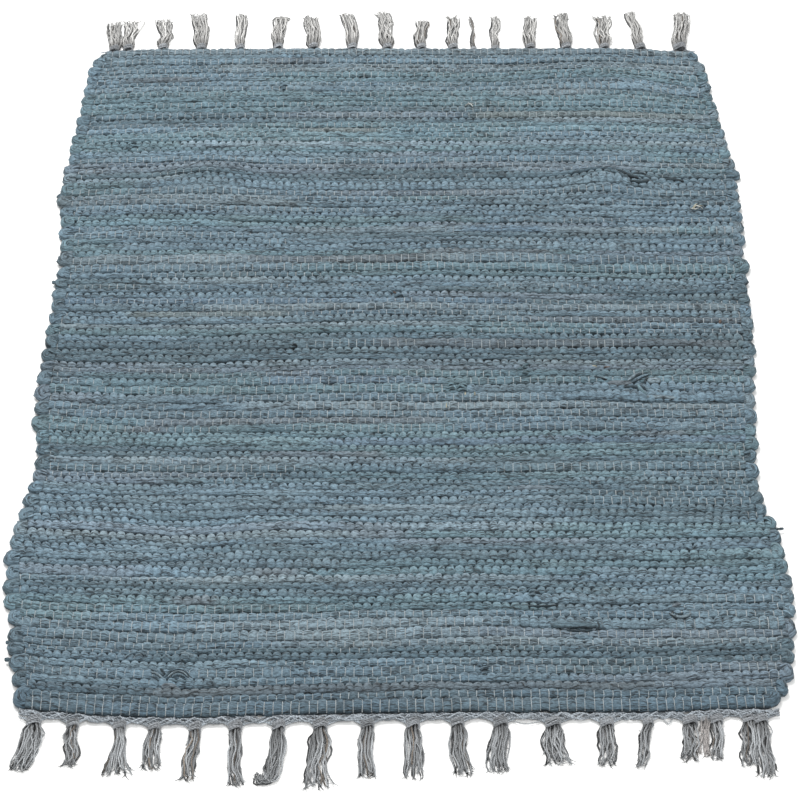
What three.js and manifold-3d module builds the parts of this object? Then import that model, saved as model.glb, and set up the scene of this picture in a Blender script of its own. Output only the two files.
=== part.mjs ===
// Woven rag mat, 600 x 900 mm, with a knotted yarn fringe at both ends.
// Millimetres, +X to the right, +Y towards the far end, +Z up, the mat lying flat on z = 0.
// The origin is the middle of the footprint, fringes included.

import * as THREE from 'three';
import Module from 'manifold-3d';

const wasm = await Module();
wasm.setup();

// Driving dimensions of the cloth
const CLOTH_LENGTH = 900;
const CREST_HEIGHT = 7.2;       // top of a weft rag
const VALLEY_HEIGHT = 4.8;      // between two rags
const EDGE_HEIGHT = 3.4;        // where the rounded rim is widest
const LOOP_BULGE = 1.2;         // a rag's turn stands this far out at the side
const LOOP_NOTCH = 3.0;         // and the cloth draws in this far between two turns
const SELVEDGE_RISE = 0.7;      // the turns are a little thicker than the cloth
const ROW_UNEVENNESS = 0.3;     // rags differ in width by this share of the usual width
const ROW_WANDER = 2.6;         // a row strays this far from a straight line

// Driving dimensions of the fringes
const NEAR_REACH = 77;          // longest tassel, from the cloth's edge
const FAR_REACH = 72;
const PIECE_GAP = 0.3;          // between the cloth and the yarn worked along its end
const STRAND_WIDTH = 1.3;
const STRAND_HEIGHT = 1.7;
const STRAND_STEPS = 2;
const NEAR_HEADER = { depth: 6.0, height: 5.0, lump: 13 };   // the yarn worked along each end
const FAR_HEADER = { depth: 3.2, height: 3.6, lump: 17 };

// Distance from the near edge, with the half widths to the left and right there
const OUTLINE = [
  { along: 0, left: 277, right: 278 },
  { along: 6, left: 286, right: 287 },
  { along: 18, left: 291, right: 294 },
  { along: 48, left: 296, right: 301 },
  { along: 109, left: 304, right: 308 },
  { along: 136, left: 308, right: 309 },
  { along: 173, left: 311, right: 305 },
  { along: 202, left: 308, right: 305 },
  { along: 240, left: 301, right: 294 },
  { along: 280, left: 297, right: 293 },
  { along: 341, left: 303, right: 298 },
  { along: 394, left: 305, right: 302 },
  { along: 459, left: 304, right: 306 },
  { along: 562, left: 301, right: 307 },
  { along: 610, left: 303, right: 311 },
  { along: 659, left: 310, right: 309 },
  { along: 697, left: 307, right: 311 },
  { along: 740, left: 305, right: 306 },
  { along: 790, left: 302, right: 303 },
  { along: 842, left: 301, right: 298 },
  { along: 880, left: 297, right: 294 },
  { along: 894, left: 291, right: 290 },
  { along: 900, left: 283, right: 284 },
];

// The near end isn't square: across the mat, and how far its edge lies towards the far end
const NEAR_EDGE = [
  { across: -290, shift: 6 },
  { across: -265, shift: 1 },
  { across: -222, shift: -3 },
  { across: -165, shift: -5.5 },
  { across: -107, shift: -3.5 },
  { across: -30, shift: -1.5 },
  { across: 60, shift: 0.5 },
  { across: 173, shift: 0 },
  { across: 249, shift: 3.5 },
  { across: 290, shift: 4 },
];
const FAR_EDGE = [
  { across: -290, shift: -4 },
  { across: -240, shift: 1 },
  { across: -100, shift: 2.5 },
  { across: 60, shift: 2 },
  { across: 200, shift: 2.5 },
  { across: 290, shift: -3 },
];

// Widths of the first weft rows, then how many rows fill each stretch after them
const FIRST_ROWS = [14.5, 8.2, 8.6, 8.4, 10.2, 7.6, 6.6, 5.6, 8.6, 10.4, 12.4, 7.6, 9.3];
const STRETCHES = [
  { until: 252, rows: 16 },
  { until: 380, rows: 15 },
  { until: 549, rows: 20 },
  { until: 702, rows: 18 },
  { until: CLOTH_LENGTH, rows: 23 },
];

// Low puckers, where the cloth stands off the floor
const PUCKERS = [
  { across: -178, along: 693, wide: 66, long: 40, high: 5.0 },
  { across: 185, along: 685, wide: 72, long: 42, high: 5.5 },
  { across: -160, along: 205, wide: 80, long: 38, high: 2.5 },
];

// Where the ribbed top is measured across, as shares of the half width
const COLUMNS = [-1, -0.975, -0.79, -0.58, -0.3, 0, 0.3, 0.6, 0.79, 0.975, 1];
const UNDERSIDE_STEP = 6;       // the plain underside follows every sixth line of the top

// Tassels: where the knot sits across, how far the tip reaches from the cloth's edge, how far the
// tip leans to the right, the spread at the tip, the strands, the knot's size, and one stray strand's
// distance from the middle, or 0 for none
const NEAR_TASSELS = [
  { across: -274, reach: 60, lean: -3, spread: 14, strands: 7, knot: 13, stray: 0 },
  { across: -242, reach: 54, lean: 3, spread: 12, strands: 7, knot: 12, stray: 0 },
  { across: -207, reach: 60, lean: 3, spread: 20, strands: 7, knot: 12, stray: 0 },
  { across: -181, reach: 57, lean: 0, spread: 13, strands: 7, knot: 12, stray: 0 },
  { across: -151, reach: 67, lean: -2, spread: 12, strands: 7, knot: 12, stray: 0 },
  { across: -121, reach: 69, lean: 2, spread: 12, strands: 7, knot: 12, stray: 0 },
  { across: -89, reach: 76, lean: -6, spread: 14, strands: 7, knot: 13, stray: 0 },
  { across: -58, reach: 74, lean: -3, spread: 17, strands: 8, knot: 13, stray: 13 },
  { across: -23, reach: 64, lean: 0, spread: 12, strands: 7, knot: 12, stray: 0 },
  { across: 11, reach: 65, lean: 1, spread: 13, strands: 7, knot: 12, stray: 0 },
  { across: 44, reach: 64, lean: 3, spread: 13, strands: 7, knot: 12, stray: 0 },
  { across: 76, reach: 60, lean: -3, spread: 14, strands: 7, knot: 13, stray: 0 },
  { across: 115, reach: 53, lean: 1, spread: 17, strands: 8, knot: 14, stray: 18 },
  { across: 155, reach: 54, lean: -1, spread: 13, strands: 7, knot: 12, stray: 0 },
  { across: 186, reach: 56, lean: -8, spread: 7, strands: 5, knot: 9, stray: 0 },
  { across: 217, reach: 52, lean: -2, spread: 11, strands: 7, knot: 13, stray: 0 },
  { across: 236, reach: 50, lean: -2, spread: 10, strands: 7, knot: 11, stray: 0 },
  { across: 260, reach: 58, lean: -3, spread: 9, strands: 6, knot: 11, stray: 0 },
  { across: 272, reach: 70, lean: 0, spread: 9, strands: 6, knot: 11, stray: 0 },
];
const FAR_TASSELS = [
  { across: -277, reach: 54, lean: -3, spread: 11, strands: 7, knot: 13, stray: 0 },
  { across: -263, reach: 55, lean: 1, spread: 15, strands: 8, knot: 13, stray: 13 },
  { across: -229, reach: 56, lean: 0, spread: 13, strands: 8, knot: 12, stray: -10 },
  { across: -192, reach: 66, lean: -4, spread: 15, strands: 7, knot: 12, stray: 0 },
  { across: -154, reach: 65, lean: -1, spread: 11, strands: 7, knot: 11, stray: 0 },
  { across: -117, reach: 64, lean: 1, spread: 11, strands: 7, knot: 12, stray: 0 },
  { across: -83, reach: 60, lean: -3, spread: 14, strands: 7, knot: 12, stray: 0 },
  { across: -45, reach: 65, lean: -4, spread: 13, strands: 7, knot: 12, stray: 0 },
  { across: -11, reach: 68, lean: -4, spread: 13, strands: 7, knot: 12, stray: 0 },
  { across: 22, reach: 53, lean: 1, spread: 12, strands: 8, knot: 12, stray: -9 },
  { across: 53, reach: 60, lean: 1, spread: 12, strands: 7, knot: 12, stray: 0 },
  { across: 73, reach: 60, lean: -2, spread: 3, strands: 2, knot: 7, stray: 0 },
  { across: 94, reach: 60, lean: 1, spread: 8, strands: 6, knot: 9, stray: 0 },
  { across: 128, reach: 60, lean: 1, spread: 11, strands: 7, knot: 12, stray: 0 },
  { across: 163, reach: 66, lean: -3, spread: 13, strands: 7, knot: 13, stray: 0 },
  { across: 200, reach: 61, lean: 1, spread: 15, strands: 7, knot: 12, stray: 0 },
  { across: 235, reach: 69, lean: -6, spread: 10, strands: 7, knot: 14, stray: 0 },
  { across: 273, reach: 71, lean: 7, spread: 15, strands: 7, knot: 17, stray: 0 },
];

const NEAR_EDGE_Y = (NEAR_REACH - FAR_REACH) / 2 - CLOTH_LENGTH / 2;

// A repeatable number from -1 to 1 for each pair of whole numbers
function uneven(i, kind) {
  const wave = Math.sin(i * 12.9898 + kind * 78.233) * 43758.5453;
  return (wave - Math.floor(wave)) * 2 - 1;
}

// A value read from a table's columns, eased between its rows
function readTable(table, key, column, at) {
  let i = 0;
  while (i < table.length - 2 && at > table[i + 1][key]) i += 1;
  const [a, b] = [table[i], table[i + 1]];
  const share = THREE.MathUtils.clamp((at - a[key]) / (b[key] - a[key]), 0, 1);
  const eased = (share + THREE.MathUtils.smoothstep(share, 0, 1)) / 2;
  return THREE.MathUtils.lerp(a[column], b[column], eased);
}

// The distances along the mat at which each weft row starts, with the far edge last
function rowStarts() {
  const starts = [0];
  for (const width of FIRST_ROWS) starts.push(starts.at(-1) + width);
  for (const stretch of STRETCHES) {
    const first = starts.at(-1);
    const widths = [];
    for (let i = 0; i < stretch.rows; i += 1) {
      widths.push(1 + ROW_UNEVENNESS * uneven(starts.length + i, 1));
    }
    const scale = (stretch.until - first) / widths.reduce((sum, width) => sum + width, 0);
    for (const width of widths) starts.push(starts.at(-1) + width * scale);
  }
  return starts;
}

// How far a row strays from straight, dying out at both ends, where the edges rule
function wander(across, along) {
  const share = along / CLOTH_LENGTH;
  const inside = Math.sin(Math.PI * share) ** 0.5;
  const slow = Math.sin(across / 105 + along / 61) + 0.6 * Math.sin(across / 47 - along / 83 + 1.3);
  return ROW_WANDER * inside * slow / 1.6;
}

// From a distance across and along the mat to its place on the floor
function placeOnFloor(across, along) {
  const share = along / CLOTH_LENGTH;
  const near = readTable(NEAR_EDGE, 'across', 'shift', across) * (1 - share) ** 3;
  const far = readTable(FAR_EDGE, 'across', 'shift', across) * share ** 3;
  return [across, NEAR_EDGE_Y + along + near + far + wander(across, along)];
}

function puckerHeight(across, along) {
  let height = 0;
  for (const pucker of PUCKERS) {
    const x = (across - pucker.across) / pucker.wide;
    const y = (along - pucker.along) / pucker.long;
    const far = Math.min(1, Math.hypot(x, y));
    height += pucker.high * Math.cos(Math.PI * far / 2) ** 2;
  }
  return height;
}

// Each weft rag turns back at the side, so rows pair up into loops, on the left in even pairs and on
// the right in odd ones: this is how far the rim stands out at a row's edge line or its middle
function loopOut(line, side) {
  const offset = side < 0 ? 0 : 2;
  const phase = (line + offset) % 4;
  const loose = 1 + 0.5 * uneven(Math.floor((line + offset) / 4), side < 0 ? 5 : 6);
  return phase === 0 ? -LOOP_NOTCH * loose : phase === 2 ? LOOP_BULGE * loose : LOOP_BULGE * 0.5 * loose;
}

// The lines across the top: each row's starting valley and its crest, and the far edge
function topLines() {
  const starts = rowStarts();
  const lines = [];
  for (let row = 0; row < starts.length - 1; row += 1) {
    const first = row === 0;
    lines.push({ along: starts[row], height: first ? EDGE_HEIGHT : VALLEY_HEIGHT });
    const width = starts[row + 1] - starts[row];
    const crest = CREST_HEIGHT + 0.12 * (width - 8.6) + 0.35 * uneven(row, 2);
    lines.push({ along: starts[row] + width / 2, height: crest });
  }
  lines.push({ along: CLOTH_LENGTH, height: EDGE_HEIGHT });
  return lines;
}

// The woven cloth: one closed skin of a ribbed top, a plain underside and the rim between them
function clothGeometry() {
  const lines = topLines();
  const last = lines.length - 1;
  const points = [];
  const faces = [];
  const topPoint = [];
  const footPoint = [];
  const addPoint = (x, y, z) => points.push(x, y, z) / 3 - 1;

  lines.forEach((line, n) => {
    const left = readTable(OUTLINE, 'along', 'left', line.along);
    const right = readTable(OUTLINE, 'along', 'right', line.along);
    const inner = n > 0 && n < last;
    const hasFoot = n % UNDERSIDE_STEP === 0 || n === last;
    topPoint.push([]);
    footPoint.push(hasFoot ? [] : null);
    for (const column of COLUMNS) {
      const rim = Math.abs(column) === 1;
      const bulge = rim && inner ? loopOut(n, column) : 0;
      const across = column < 0 ? column * (left + bulge) : column * (right + bulge);
      const [x, y] = placeOnFloor(across, line.along);
      const lift = inner && !rim ? puckerHeight(across, line.along) : 0;
      const turn = Math.abs(column) > 0.9 && !rim && inner ? SELVEDGE_RISE : 0;
      const top = rim ? EDGE_HEIGHT : line.height + turn;
      topPoint[n].push(addPoint(x, y, top + lift));
      if (hasFoot) footPoint[n].push(addPoint(x, y, lift));
    }
  });

  const quad = (a, b, c, d) => faces.push(a, b, c, a, c, d);
  const end = COLUMNS.length - 1;
  for (let n = 0; n < last; n += 1) {
    for (let c = 0; c < end; c += 1) {
      quad(topPoint[n][c], topPoint[n][c + 1], topPoint[n + 1][c + 1], topPoint[n + 1][c]);
    }
  }
  for (let n = 0; n < last; n += UNDERSIDE_STEP) {
    const next = Math.min(n + UNDERSIDE_STEP, last);
    for (let c = 0; c < end; c += 1) {
      quad(footPoint[n][c], footPoint[next][c], footPoint[next][c + 1], footPoint[n][c + 1]);
    }
    // the rim is a fan from each end of the underside's step up to the finer top
    const middle = Math.floor((n + next) / 2);
    for (const [c, flip] of [[0, false], [end, true]]) {
      const face = (a, b, d) => (flip ? faces.push(a, b, d) : faces.push(a, d, b));
      for (let m = n; m < middle; m += 1) face(footPoint[n][c], topPoint[m + 1][c], topPoint[m][c]);
      face(footPoint[n][c], footPoint[next][c], topPoint[middle][c]);
      for (let m = middle; m < next; m += 1) {
        face(footPoint[next][c], topPoint[m + 1][c], topPoint[m][c]);
      }
    }
  }
  for (let c = 0; c < end; c += 1) {
    quad(footPoint[0][c], footPoint[0][c + 1], topPoint[0][c + 1], topPoint[0][c]);
    quad(footPoint[last][c + 1], footPoint[last][c], topPoint[last][c], topPoint[last][c + 1]);
  }
  return { points, faces };
}

// A closed tube through a list of sections, each a ring of [x, y, z] points turned the same way
function loft(rings) {
  const points = [];
  const faces = [];
  const sides = rings[0].length;
  for (const ring of rings) for (const point of ring) points.push(...point);
  for (let r = 0; r < rings.length - 1; r += 1) {
    for (let i = 0; i < sides; i += 1) {
      const j = (i + 1) % sides;
      const [a, b, c, d] = [r * sides + i, r * sides + j, (r + 1) * sides + j, (r + 1) * sides + i];
      faces.push(a, b, c, a, c, d);
    }
  }
  const lastRing = (rings.length - 1) * sides;
  for (let i = 1; i < sides - 1; i += 1) {
    faces.push(0, i + 1, i);
    faces.push(lastRing, lastRing + i, lastRing + i + 1);
  }
  return { points, faces };
}

// A loft is made inside out when its route runs the other way, so its volume's sign is read first
function asSolid({ points, faces }) {
  let volume = 0;
  const at = (i) => new THREE.Vector3(points[3 * i], points[3 * i + 1], points[3 * i + 2]);
  for (let f = 0; f < faces.length; f += 3) {
    volume += at(faces[f]).dot(at(faces[f + 1]).cross(at(faces[f + 2])));
  }
  const outward = volume > 0 ? faces : faces.slice().reverse();
  return new wasm.Manifold(new wasm.Mesh({
    numProp: 3,
    vertProperties: new Float32Array(points),
    triVerts: new Uint32Array(outward),
  }));
}

// The yarn worked along one end: a low uneven cord that follows the cloth's edge
function headerSolid(header, end) {
  const corners = endCorners(end);
  const stations = [corners[0].x];
  for (let c = 0; c < corners.length - 1; c += 1) {
    const [from, to] = [corners[c].x, corners[c + 1].x];
    const steps = Math.max(1, Math.round((to - from) / header.lump));
    for (let i = 1; i <= steps; i += 1) stations.push(THREE.MathUtils.lerp(from, to, i / steps));
  }
  const rings = stations.map((across, i) => {
    const fat = 1 + 0.12 * uneven(i, end === 'near' ? 11 : 12);
    const edge = edgeY(across, end);
    const out = end === 'near' ? -1 : 1;
    const [inner, outer] = [edge + out * PIECE_GAP, edge + out * (PIECE_GAP + header.depth * fat)];
    const [low, high] = [header.height * 0.35, header.height * fat];
    const middle = (inner + outer) / 2;
    const side = (outer - inner) * 0.2;
    const foot = (outer - inner) * 0.3;
    return [
      [across, middle - foot, 0], [across, middle + foot, 0], [across, outer, low],
      [across, outer - side, high], [across, inner + side, high], [across, inner, low],
    ];
  });
  return asSolid(loft(rings));
}

// The corners of the cloth's end across the mat, one at each column
function endCorners(end) {
  const along = end === 'near' ? 0 : CLOTH_LENGTH;
  const left = readTable(OUTLINE, 'along', 'left', along);
  const right = readTable(OUTLINE, 'along', 'right', along);
  return COLUMNS.map((column) => {
    const [x, y] = placeOnFloor(column * (column < 0 ? left : right), along);
    return { x, y };
  });
}

// The cloth's end is straight from corner to corner, and the yarn follows it
function edgeY(across, end) {
  const corners = endCorners(end);
  let i = 0;
  while (i < corners.length - 2 && across > corners[i + 1].x) i += 1;
  const [a, b] = [corners[i], corners[i + 1]];
  const share = THREE.MathUtils.clamp((across - a.x) / (b.x - a.x), 0, 1);
  return THREE.MathUtils.lerp(a.y, b.y, share);
}

// A half hitch pulled tight: a lump wider than it is long, with a flat foot on the floor
function knotSolid(x, y, size) {
  const rings = [];
  const profile = [
    { along: -0.42, wide: 0.62 }, { along: -0.2, wide: 0.95 },
    { along: 0.12, wide: 1 }, { along: 0.42, wide: 0.66 },
  ];
  for (const { along, wide } of profile) {
    const half = size * wide / 2;
    const high = size * 0.56 * wide;
    const at = y + along * size * 0.85;
    rings.push([
      [x - half * 0.92, at, 0], [x + half * 0.92, at, 0], [x + half, at, high * 0.4],
      [x + half * 0.5, at, high], [x - half * 0.5, at, high], [x - half, at, high * 0.4],
    ]);
  }
  return asSolid(loft(rings));
}

// One strand: three sides, its foot level on the floor, from inside the knot to its tip
function strandSolid(from, to, bow) {
  const rings = [];
  for (let step = 0; step <= STRAND_STEPS; step += 1) {
    const share = step / STRAND_STEPS;
    const x = THREE.MathUtils.lerp(from.x, to.x, share) + bow * Math.sin(Math.PI * share);
    const y = THREE.MathUtils.lerp(from.y, to.y, share);
    const taper = step === STRAND_STEPS ? 0.6 : 1;
    const half = STRAND_WIDTH * taper / 2;
    rings.push([[x - half, y, 0], [x + half, y, 0], [x, y, STRAND_HEIGHT * taper]]);
  }
  return asSolid(loft(rings));
}

// One tassel: its knot against the header, and its strands fanned out over the floor
function tasselSolids(tassel, header, end, n) {
  const out = end === 'near' ? -1 : 1;
  const edge = edgeY(tassel.across, end);
  const knotY = edge + out * (PIECE_GAP + header.depth * 0.75 + tassel.knot * 0.36);
  const solids = [knotSolid(tassel.across, knotY, tassel.knot)];
  for (let i = 0; i < tassel.strands; i += 1) {
    const share = tassel.strands > 1 ? i / (tassel.strands - 1) - 0.5 : 0;
    const strayed = tassel.stray !== 0 && i === (tassel.stray > 0 ? tassel.strands - 1 : 0);
    const rootX = tassel.across + share * Math.min(tassel.knot * 0.8, tassel.spread * 0.9);
    const tipX = tassel.across + tassel.lean + (strayed ? tassel.stray : share * tassel.spread);
    const short = Math.abs(uneven(n * 10 + i, end === 'near' ? 21 : 22)) * 7 * (i === 2 ? 0 : 1);
    const tip = { x: tipX, y: edge + out * (tassel.reach - short) };
    const bow = 0.5 * uneven(n, end === 'near' ? 31 : 32) * (strayed ? 0 : 2);
    solids.push(strandSolid({ x: rootX, y: knotY }, tip, bow));
  }
  return solids;
}

function fringeSolid(tassels, header, end) {
  let solid = headerSolid(header, end);
  tassels.forEach((tassel, n) => {
    for (const piece of tasselSolids(tassel, header, end, n)) solid = solid.add(piece);
  });
  return solid;
}

function asGeometry(points, faces) {
  const geometry = new THREE.BufferGeometry();
  geometry.setAttribute('position', new THREE.Float32BufferAttribute(points, 3));
  geometry.setIndex(faces);
  geometry.computeVertexNormals();
  return geometry;
}

const ragCloth = new THREE.MeshStandardMaterial({
  color: 0x66808f, roughness: 0.92, metalness: 0, flatShading: true,
});
const greyYarn = new THREE.MeshStandardMaterial({
  color: 0x9aa2a6, roughness: 0.95, metalness: 0, flatShading: true,
});

function clothMesh() {
  const { points, faces } = clothGeometry();
  const mesh = new THREE.Mesh(asGeometry(points, faces), ragCloth);
  mesh.name = 'rag_cloth';
  return mesh;
}

function fringeMesh(name, tassels, header, end) {
  const { vertProperties, triVerts } = fringeSolid(tassels, header, end).getMesh();
  const mesh = new THREE.Mesh(asGeometry(Array.from(vertProperties), Array.from(triVerts)), greyYarn);
  mesh.name = name;
  return mesh;
}

const mat = new THREE.Group();
mat.add(clothMesh());
mat.add(fringeMesh('near_fringe', NEAR_TASSELS, NEAR_HEADER, 'near'));
mat.add(fringeMesh('far_fringe', FAR_TASSELS, FAR_HEADER, 'far'));

export default mat;
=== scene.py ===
"""A woven rag mat for a kitchen floor, lying flat: a weft of soft cotton rags, a warp of thin grey
yarn, and the warp's ends knotted into a fringe at both ends.

Sizes are millimetres until a mesh is made: +X across the mat, +Y towards the far end, +Z up.
"Across" is a distance from the mat's middle line, "along" is one from its near edge.
"""

import math

import bpy
import numpy as np
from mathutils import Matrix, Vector


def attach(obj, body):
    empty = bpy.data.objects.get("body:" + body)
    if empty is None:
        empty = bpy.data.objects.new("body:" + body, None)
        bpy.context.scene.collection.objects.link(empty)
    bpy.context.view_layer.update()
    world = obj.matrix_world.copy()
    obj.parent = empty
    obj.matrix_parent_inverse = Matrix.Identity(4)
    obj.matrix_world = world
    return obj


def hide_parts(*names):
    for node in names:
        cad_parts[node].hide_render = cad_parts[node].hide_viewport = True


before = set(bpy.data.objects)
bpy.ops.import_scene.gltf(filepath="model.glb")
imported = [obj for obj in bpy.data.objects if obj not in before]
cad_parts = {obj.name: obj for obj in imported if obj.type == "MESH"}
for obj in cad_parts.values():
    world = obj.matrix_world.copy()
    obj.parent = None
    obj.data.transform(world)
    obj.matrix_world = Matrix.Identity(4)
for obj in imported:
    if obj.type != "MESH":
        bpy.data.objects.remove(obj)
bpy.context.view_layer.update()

MM = 0.001
BODY = "root"


def rows(columns, *values):
    """A table: one dict for each row of values, under the named columns. A column that a row leaves
    out at its end is missing from its dict."""
    return [dict(zip(columns.split(), row)) for row in values]


# The cloth. Distances along the mat in the tables below were read as if the cloth's top lay on the
# floor. It lies about 6.5 mm above it, so features on the top are 6 to 10 mm too far along.
CLOTH_LENGTH = 900.0
RAG_HEIGHT = 6.7          # a rag squashed into its row, from the floor to its crown
RAG_LIFT = 0.1            # the rags' lowest points above the floor
FULLER = 0.16             # how much higher a rag stands for each millimetre more of width
ROW_USUAL = 8.6           # a usual row, from one valley to the next
ROW_UNEVENNESS = 0.2
ROW_WANDER = 2.6
ROW_SHARE = 1.07          # a rag is a little wider than its row, because its neighbours press into it
WARP_ENDS = 166
SELVEDGE_LEFT, SELVEDGE_RIGHT = 13.0, 11.0    # from the outermost warp end to the side of the mat
YARN = 0.5                # radius of the warp yarn

# The fringes
NEAR_REACH, FAR_REACH = 77.0, 72.0            # of the solids, whose middle is the origin
NEAR_EDGE_Y = (NEAR_REACH - FAR_REACH) / 2 - CLOTH_LENGTH / 2
PIECE_GAP = 0.3
FRINGE_YARN = 0.66        # radius: the warp yarn again, but no longer pulled tight

# Where the sides of the mat are, along it
OUTLINE = rows(
    "along left right",
    (0, 277, 278),
    (6, 286, 287),
    (18, 291, 294),
    (48, 296, 301),
    (109, 304, 308),
    (136, 308, 309),
    (173, 311, 305),
    (202, 308, 305),
    (240, 301, 294),
    (280, 297, 293),
    (341, 303, 298),
    (394, 305, 302),
    (459, 304, 306),
    (562, 301, 307),
    (610, 303, 311),
    (659, 310, 309),
    (697, 307, 311),
    (740, 305, 306),
    (790, 302, 303),
    (842, 301, 298),
    (880, 297, 294),
    (894, 291, 290),
    (900, 283, 284),
)

# The ends aren't square: how far each lies towards the far end
NEAR_EDGE = rows(
    "across shift",
    (-290, 6.0),
    (-265, 1.0),
    (-222, -3.0),
    (-165, -5.5),
    (-107, -3.5),
    (-30, -1.5),
    (60, 0.5),
    (173, 0.0),
    (249, 3.5),
    (290, 4.0),
)
FAR_EDGE = rows(
    "across shift",
    (-290, -4.0),
    (-240, 1.0),
    (-100, 2.5),
    (60, 2.0),
    (200, 2.5),
    (290, -3.0),
)

# Widths of the first rows, and how many rows fill each stretch after them
FIRST_ROWS = [14.5, 8.2, 8.6, 8.4, 10.2, 7.6, 6.6, 5.6, 8.6, 10.4, 12.4, 7.6, 9.3]
STRETCHES = rows(
    "until rows",
    (252, 16),
    (274, 3),
    (285, 1),
    (325, 5),
    (335, 1),
    (364, 3),
    (375, 1),
    (397, 2),
    (436, 5),
    (447, 1),
    (488, 5),
    (498, 1),
    (543, 6),
    (567, 2),
    (702, 16),
    (CLOTH_LENGTH, 24),
)

# Low puckers, where the cloth stands off the floor
PUCKERS = rows(
    "across along wide long high",
    (-178, 693, 66, 40, 4.5),
    (187, 680, 60, 36, 5.0),
)

# Where the rows bend aside, towards the far end or, below 0, the near end
BENDS = rows(
    "across along wide long shift",
    (-175, 203, 80, 46, -7.0),
    (100, 562, 170, 70, 5.0),
    (-255, 560, 120, 60, -2.5),
    (185, 668, 72, 40, 4.5),
    (188, 679, 30, 26, 5.0),
    (-172, 682, 62, 34, 4.0),
    (190, 850, 120, 48, 8.0),
    (285, 836, 62, 40, -6.0),
    (250, 240, 110, 46, -4.0),
    (-30, 275, 120, 40, 2.5),
    (-60, 390, 110, 50, 2.5),
    (230, 350, 110, 50, -3.0),
    (-110, 60, 80, 34, 2.5),
)

# How much of the warp shows on top: 1 where the yarn lies over the rags, 0 where they close over it
WARP_SHOWS = rows(
    "along shows",
    (0, 0.7),
    (122, 0.55),
    (134, 0.1),
    (235, 0.1),
    (262, 0.3),
    (345, 0.5),
    (400, 0.42),
    (425, 0.15),
    (475, 0.4),
    (530, 0.25),
    (640, 0.4),
    (690, 0.3),
    (712, 0.5),
    (735, 0.25),
    (765, 0.55),
    (900, 0.75),
)
# Rows where the stitches stand out, or where there are none
STITCHES = rows(
    "along left right shows",
    (7, -320, 320, 1.3),
    (18, -320, 320, 1.1),
    (27, -320, -185, 0.2),
    (27, -100, 155, 0.1),
    (35, -130, 60, 1.0),
    (35, 60, 130, 0.1),
    (45, -120, 300, 1.0),
    (53, -100, 230, 1.0),
    (64, -170, 320, 0.1),
    (71, -300, -200, 1.0),
    (75, -160, 60, 0.9),
    (86, -110, 300, 0.9),
    (97, -300, 90, 0.9),
    (108, -300, 320, 1.0),
    (117, -300, -70, 1.0),
    (121, 235, 300, 1.0),
    (144, -300, -180, 0.7),
    (243, 150, 300, 1.0),
    (250, 150, 300, 1.0),
    (259, 195, 300, 0.9),
    (268, 200, 300, 0.9),
    (272, -300, -90, 0.8),
    (280, -300, -90, 0.9),
    (280, 90, 300, 0.8),
    (297, 200, 300, 1.0),
    (305, -320, 230, 0.0),
    (314, -320, 320, 0.1),
    (322, -320, 320, 0.0),
    (340, -300, 300, 1.1),
    (348, -300, 300, 0.9),
    (358, -300, -190, 1.0),
    (358, -90, 300, 0.9),
    (370, -150, 130, 0.8),
    (381, -300, 40, 0.9),
    (391, 60, 175, 1.0),
    (424, -320, 320, 0.0),
    (431, -320, 320, 0.0),
    (441, -80, 210, 0.6),
    (461, 60, 300, 0.8),
    (470, 80, 300, 0.8),
    (477, 60, 300, 0.9),
    (483, -200, 110, 0.9),
    (493, -170, 300, 0.8),
    (502, -300, -235, 1.0),
    (510, -320, 320, 0.0),
    (518, -320, 180, 0.0),
    (549, -300, 300, 1.0),
    (560, -300, 300, 1.1),
    (594, -300, -110, 0.8),
    (618, -320, 150, 0.0),
    (636, -300, -20, 0.8),
    (645, -300, -180, 0.8),
    (656, -300, 60, 1.0),
    (665, -300, 300, 0.9),
    (682, -320, 180, 0.1),
    (715, -30, 190, 1.0),
    (897, -300, 300, 1.0),
)

# The dyed rags, as their colours look dry, and bits of thread and lint. The last is no dye but a
# near-black painted shadow, laid as thin strips along raised folds and in the holes of joins
DYES = dict(
    slate="#60737E",
    teal="#5D737B",
    deep="#54666F",
    pale="#6D7C84",
    taupe="#5D676E",
    tan="#667071",
    blue="#5D707E",
    ink="#52646F",
    lilac="#66737D",
    brown="#554842",
    straw="#959280",
    lint="#A3A8A6",
    # a near-black painted shadow, not a dye
    hollow="#2E3A40",
)
DYE_LIKENESS = 0.2        # how far every rag leans towards the usual slate
USUAL_DYES = ["slate", "slate", "slate", "slate", "teal", "deep", "pale", "lilac", "teal", "slate"]
RAG_BLEND = 9             # the places along a row over which one rag's colour gives way to the next
# Painted light round a rag's section: painted shade in the valleys between the rows and underneath,
# a painted highlight on the far rim
PAINTED_RAG_LIGHT_AND_SHADE = [0.46, 0.93, 1.03, 1.17, 0.5, 0.8, 0.8]
# Painted shade: the near valley is darker still where two rows stand apart
PAINTED_GAP_SHADE = 0.4         # how much deeper still it is where two rows stand apart
# Painted shade round a loose tail and round a fold, dark where they meet the row below, with a
# painted highlight on top
PAINTED_TAIL_SHADE = [0.35, 1.0, 1.1, 1.0, 0.35, 0.4]
PAINTED_FOLD_SHADE = [0.6, 0.95, 1.05, 1.0, 0.7, 0.5, 0.5, 0.5]

# How pale the rags are, in broad bands along the mat
PALENESS_ALONG = rows(
    "along pale",
    (0, 0.88),
    (60, 0.97),
    (134, 1.02),
    (204, 1.1),
    (290, 1.03),
    (390, 0.9),
    (490, 0.95),
    (670, 0.96),
    (755, 1.11),
    (840, 1.03),
)

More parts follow.
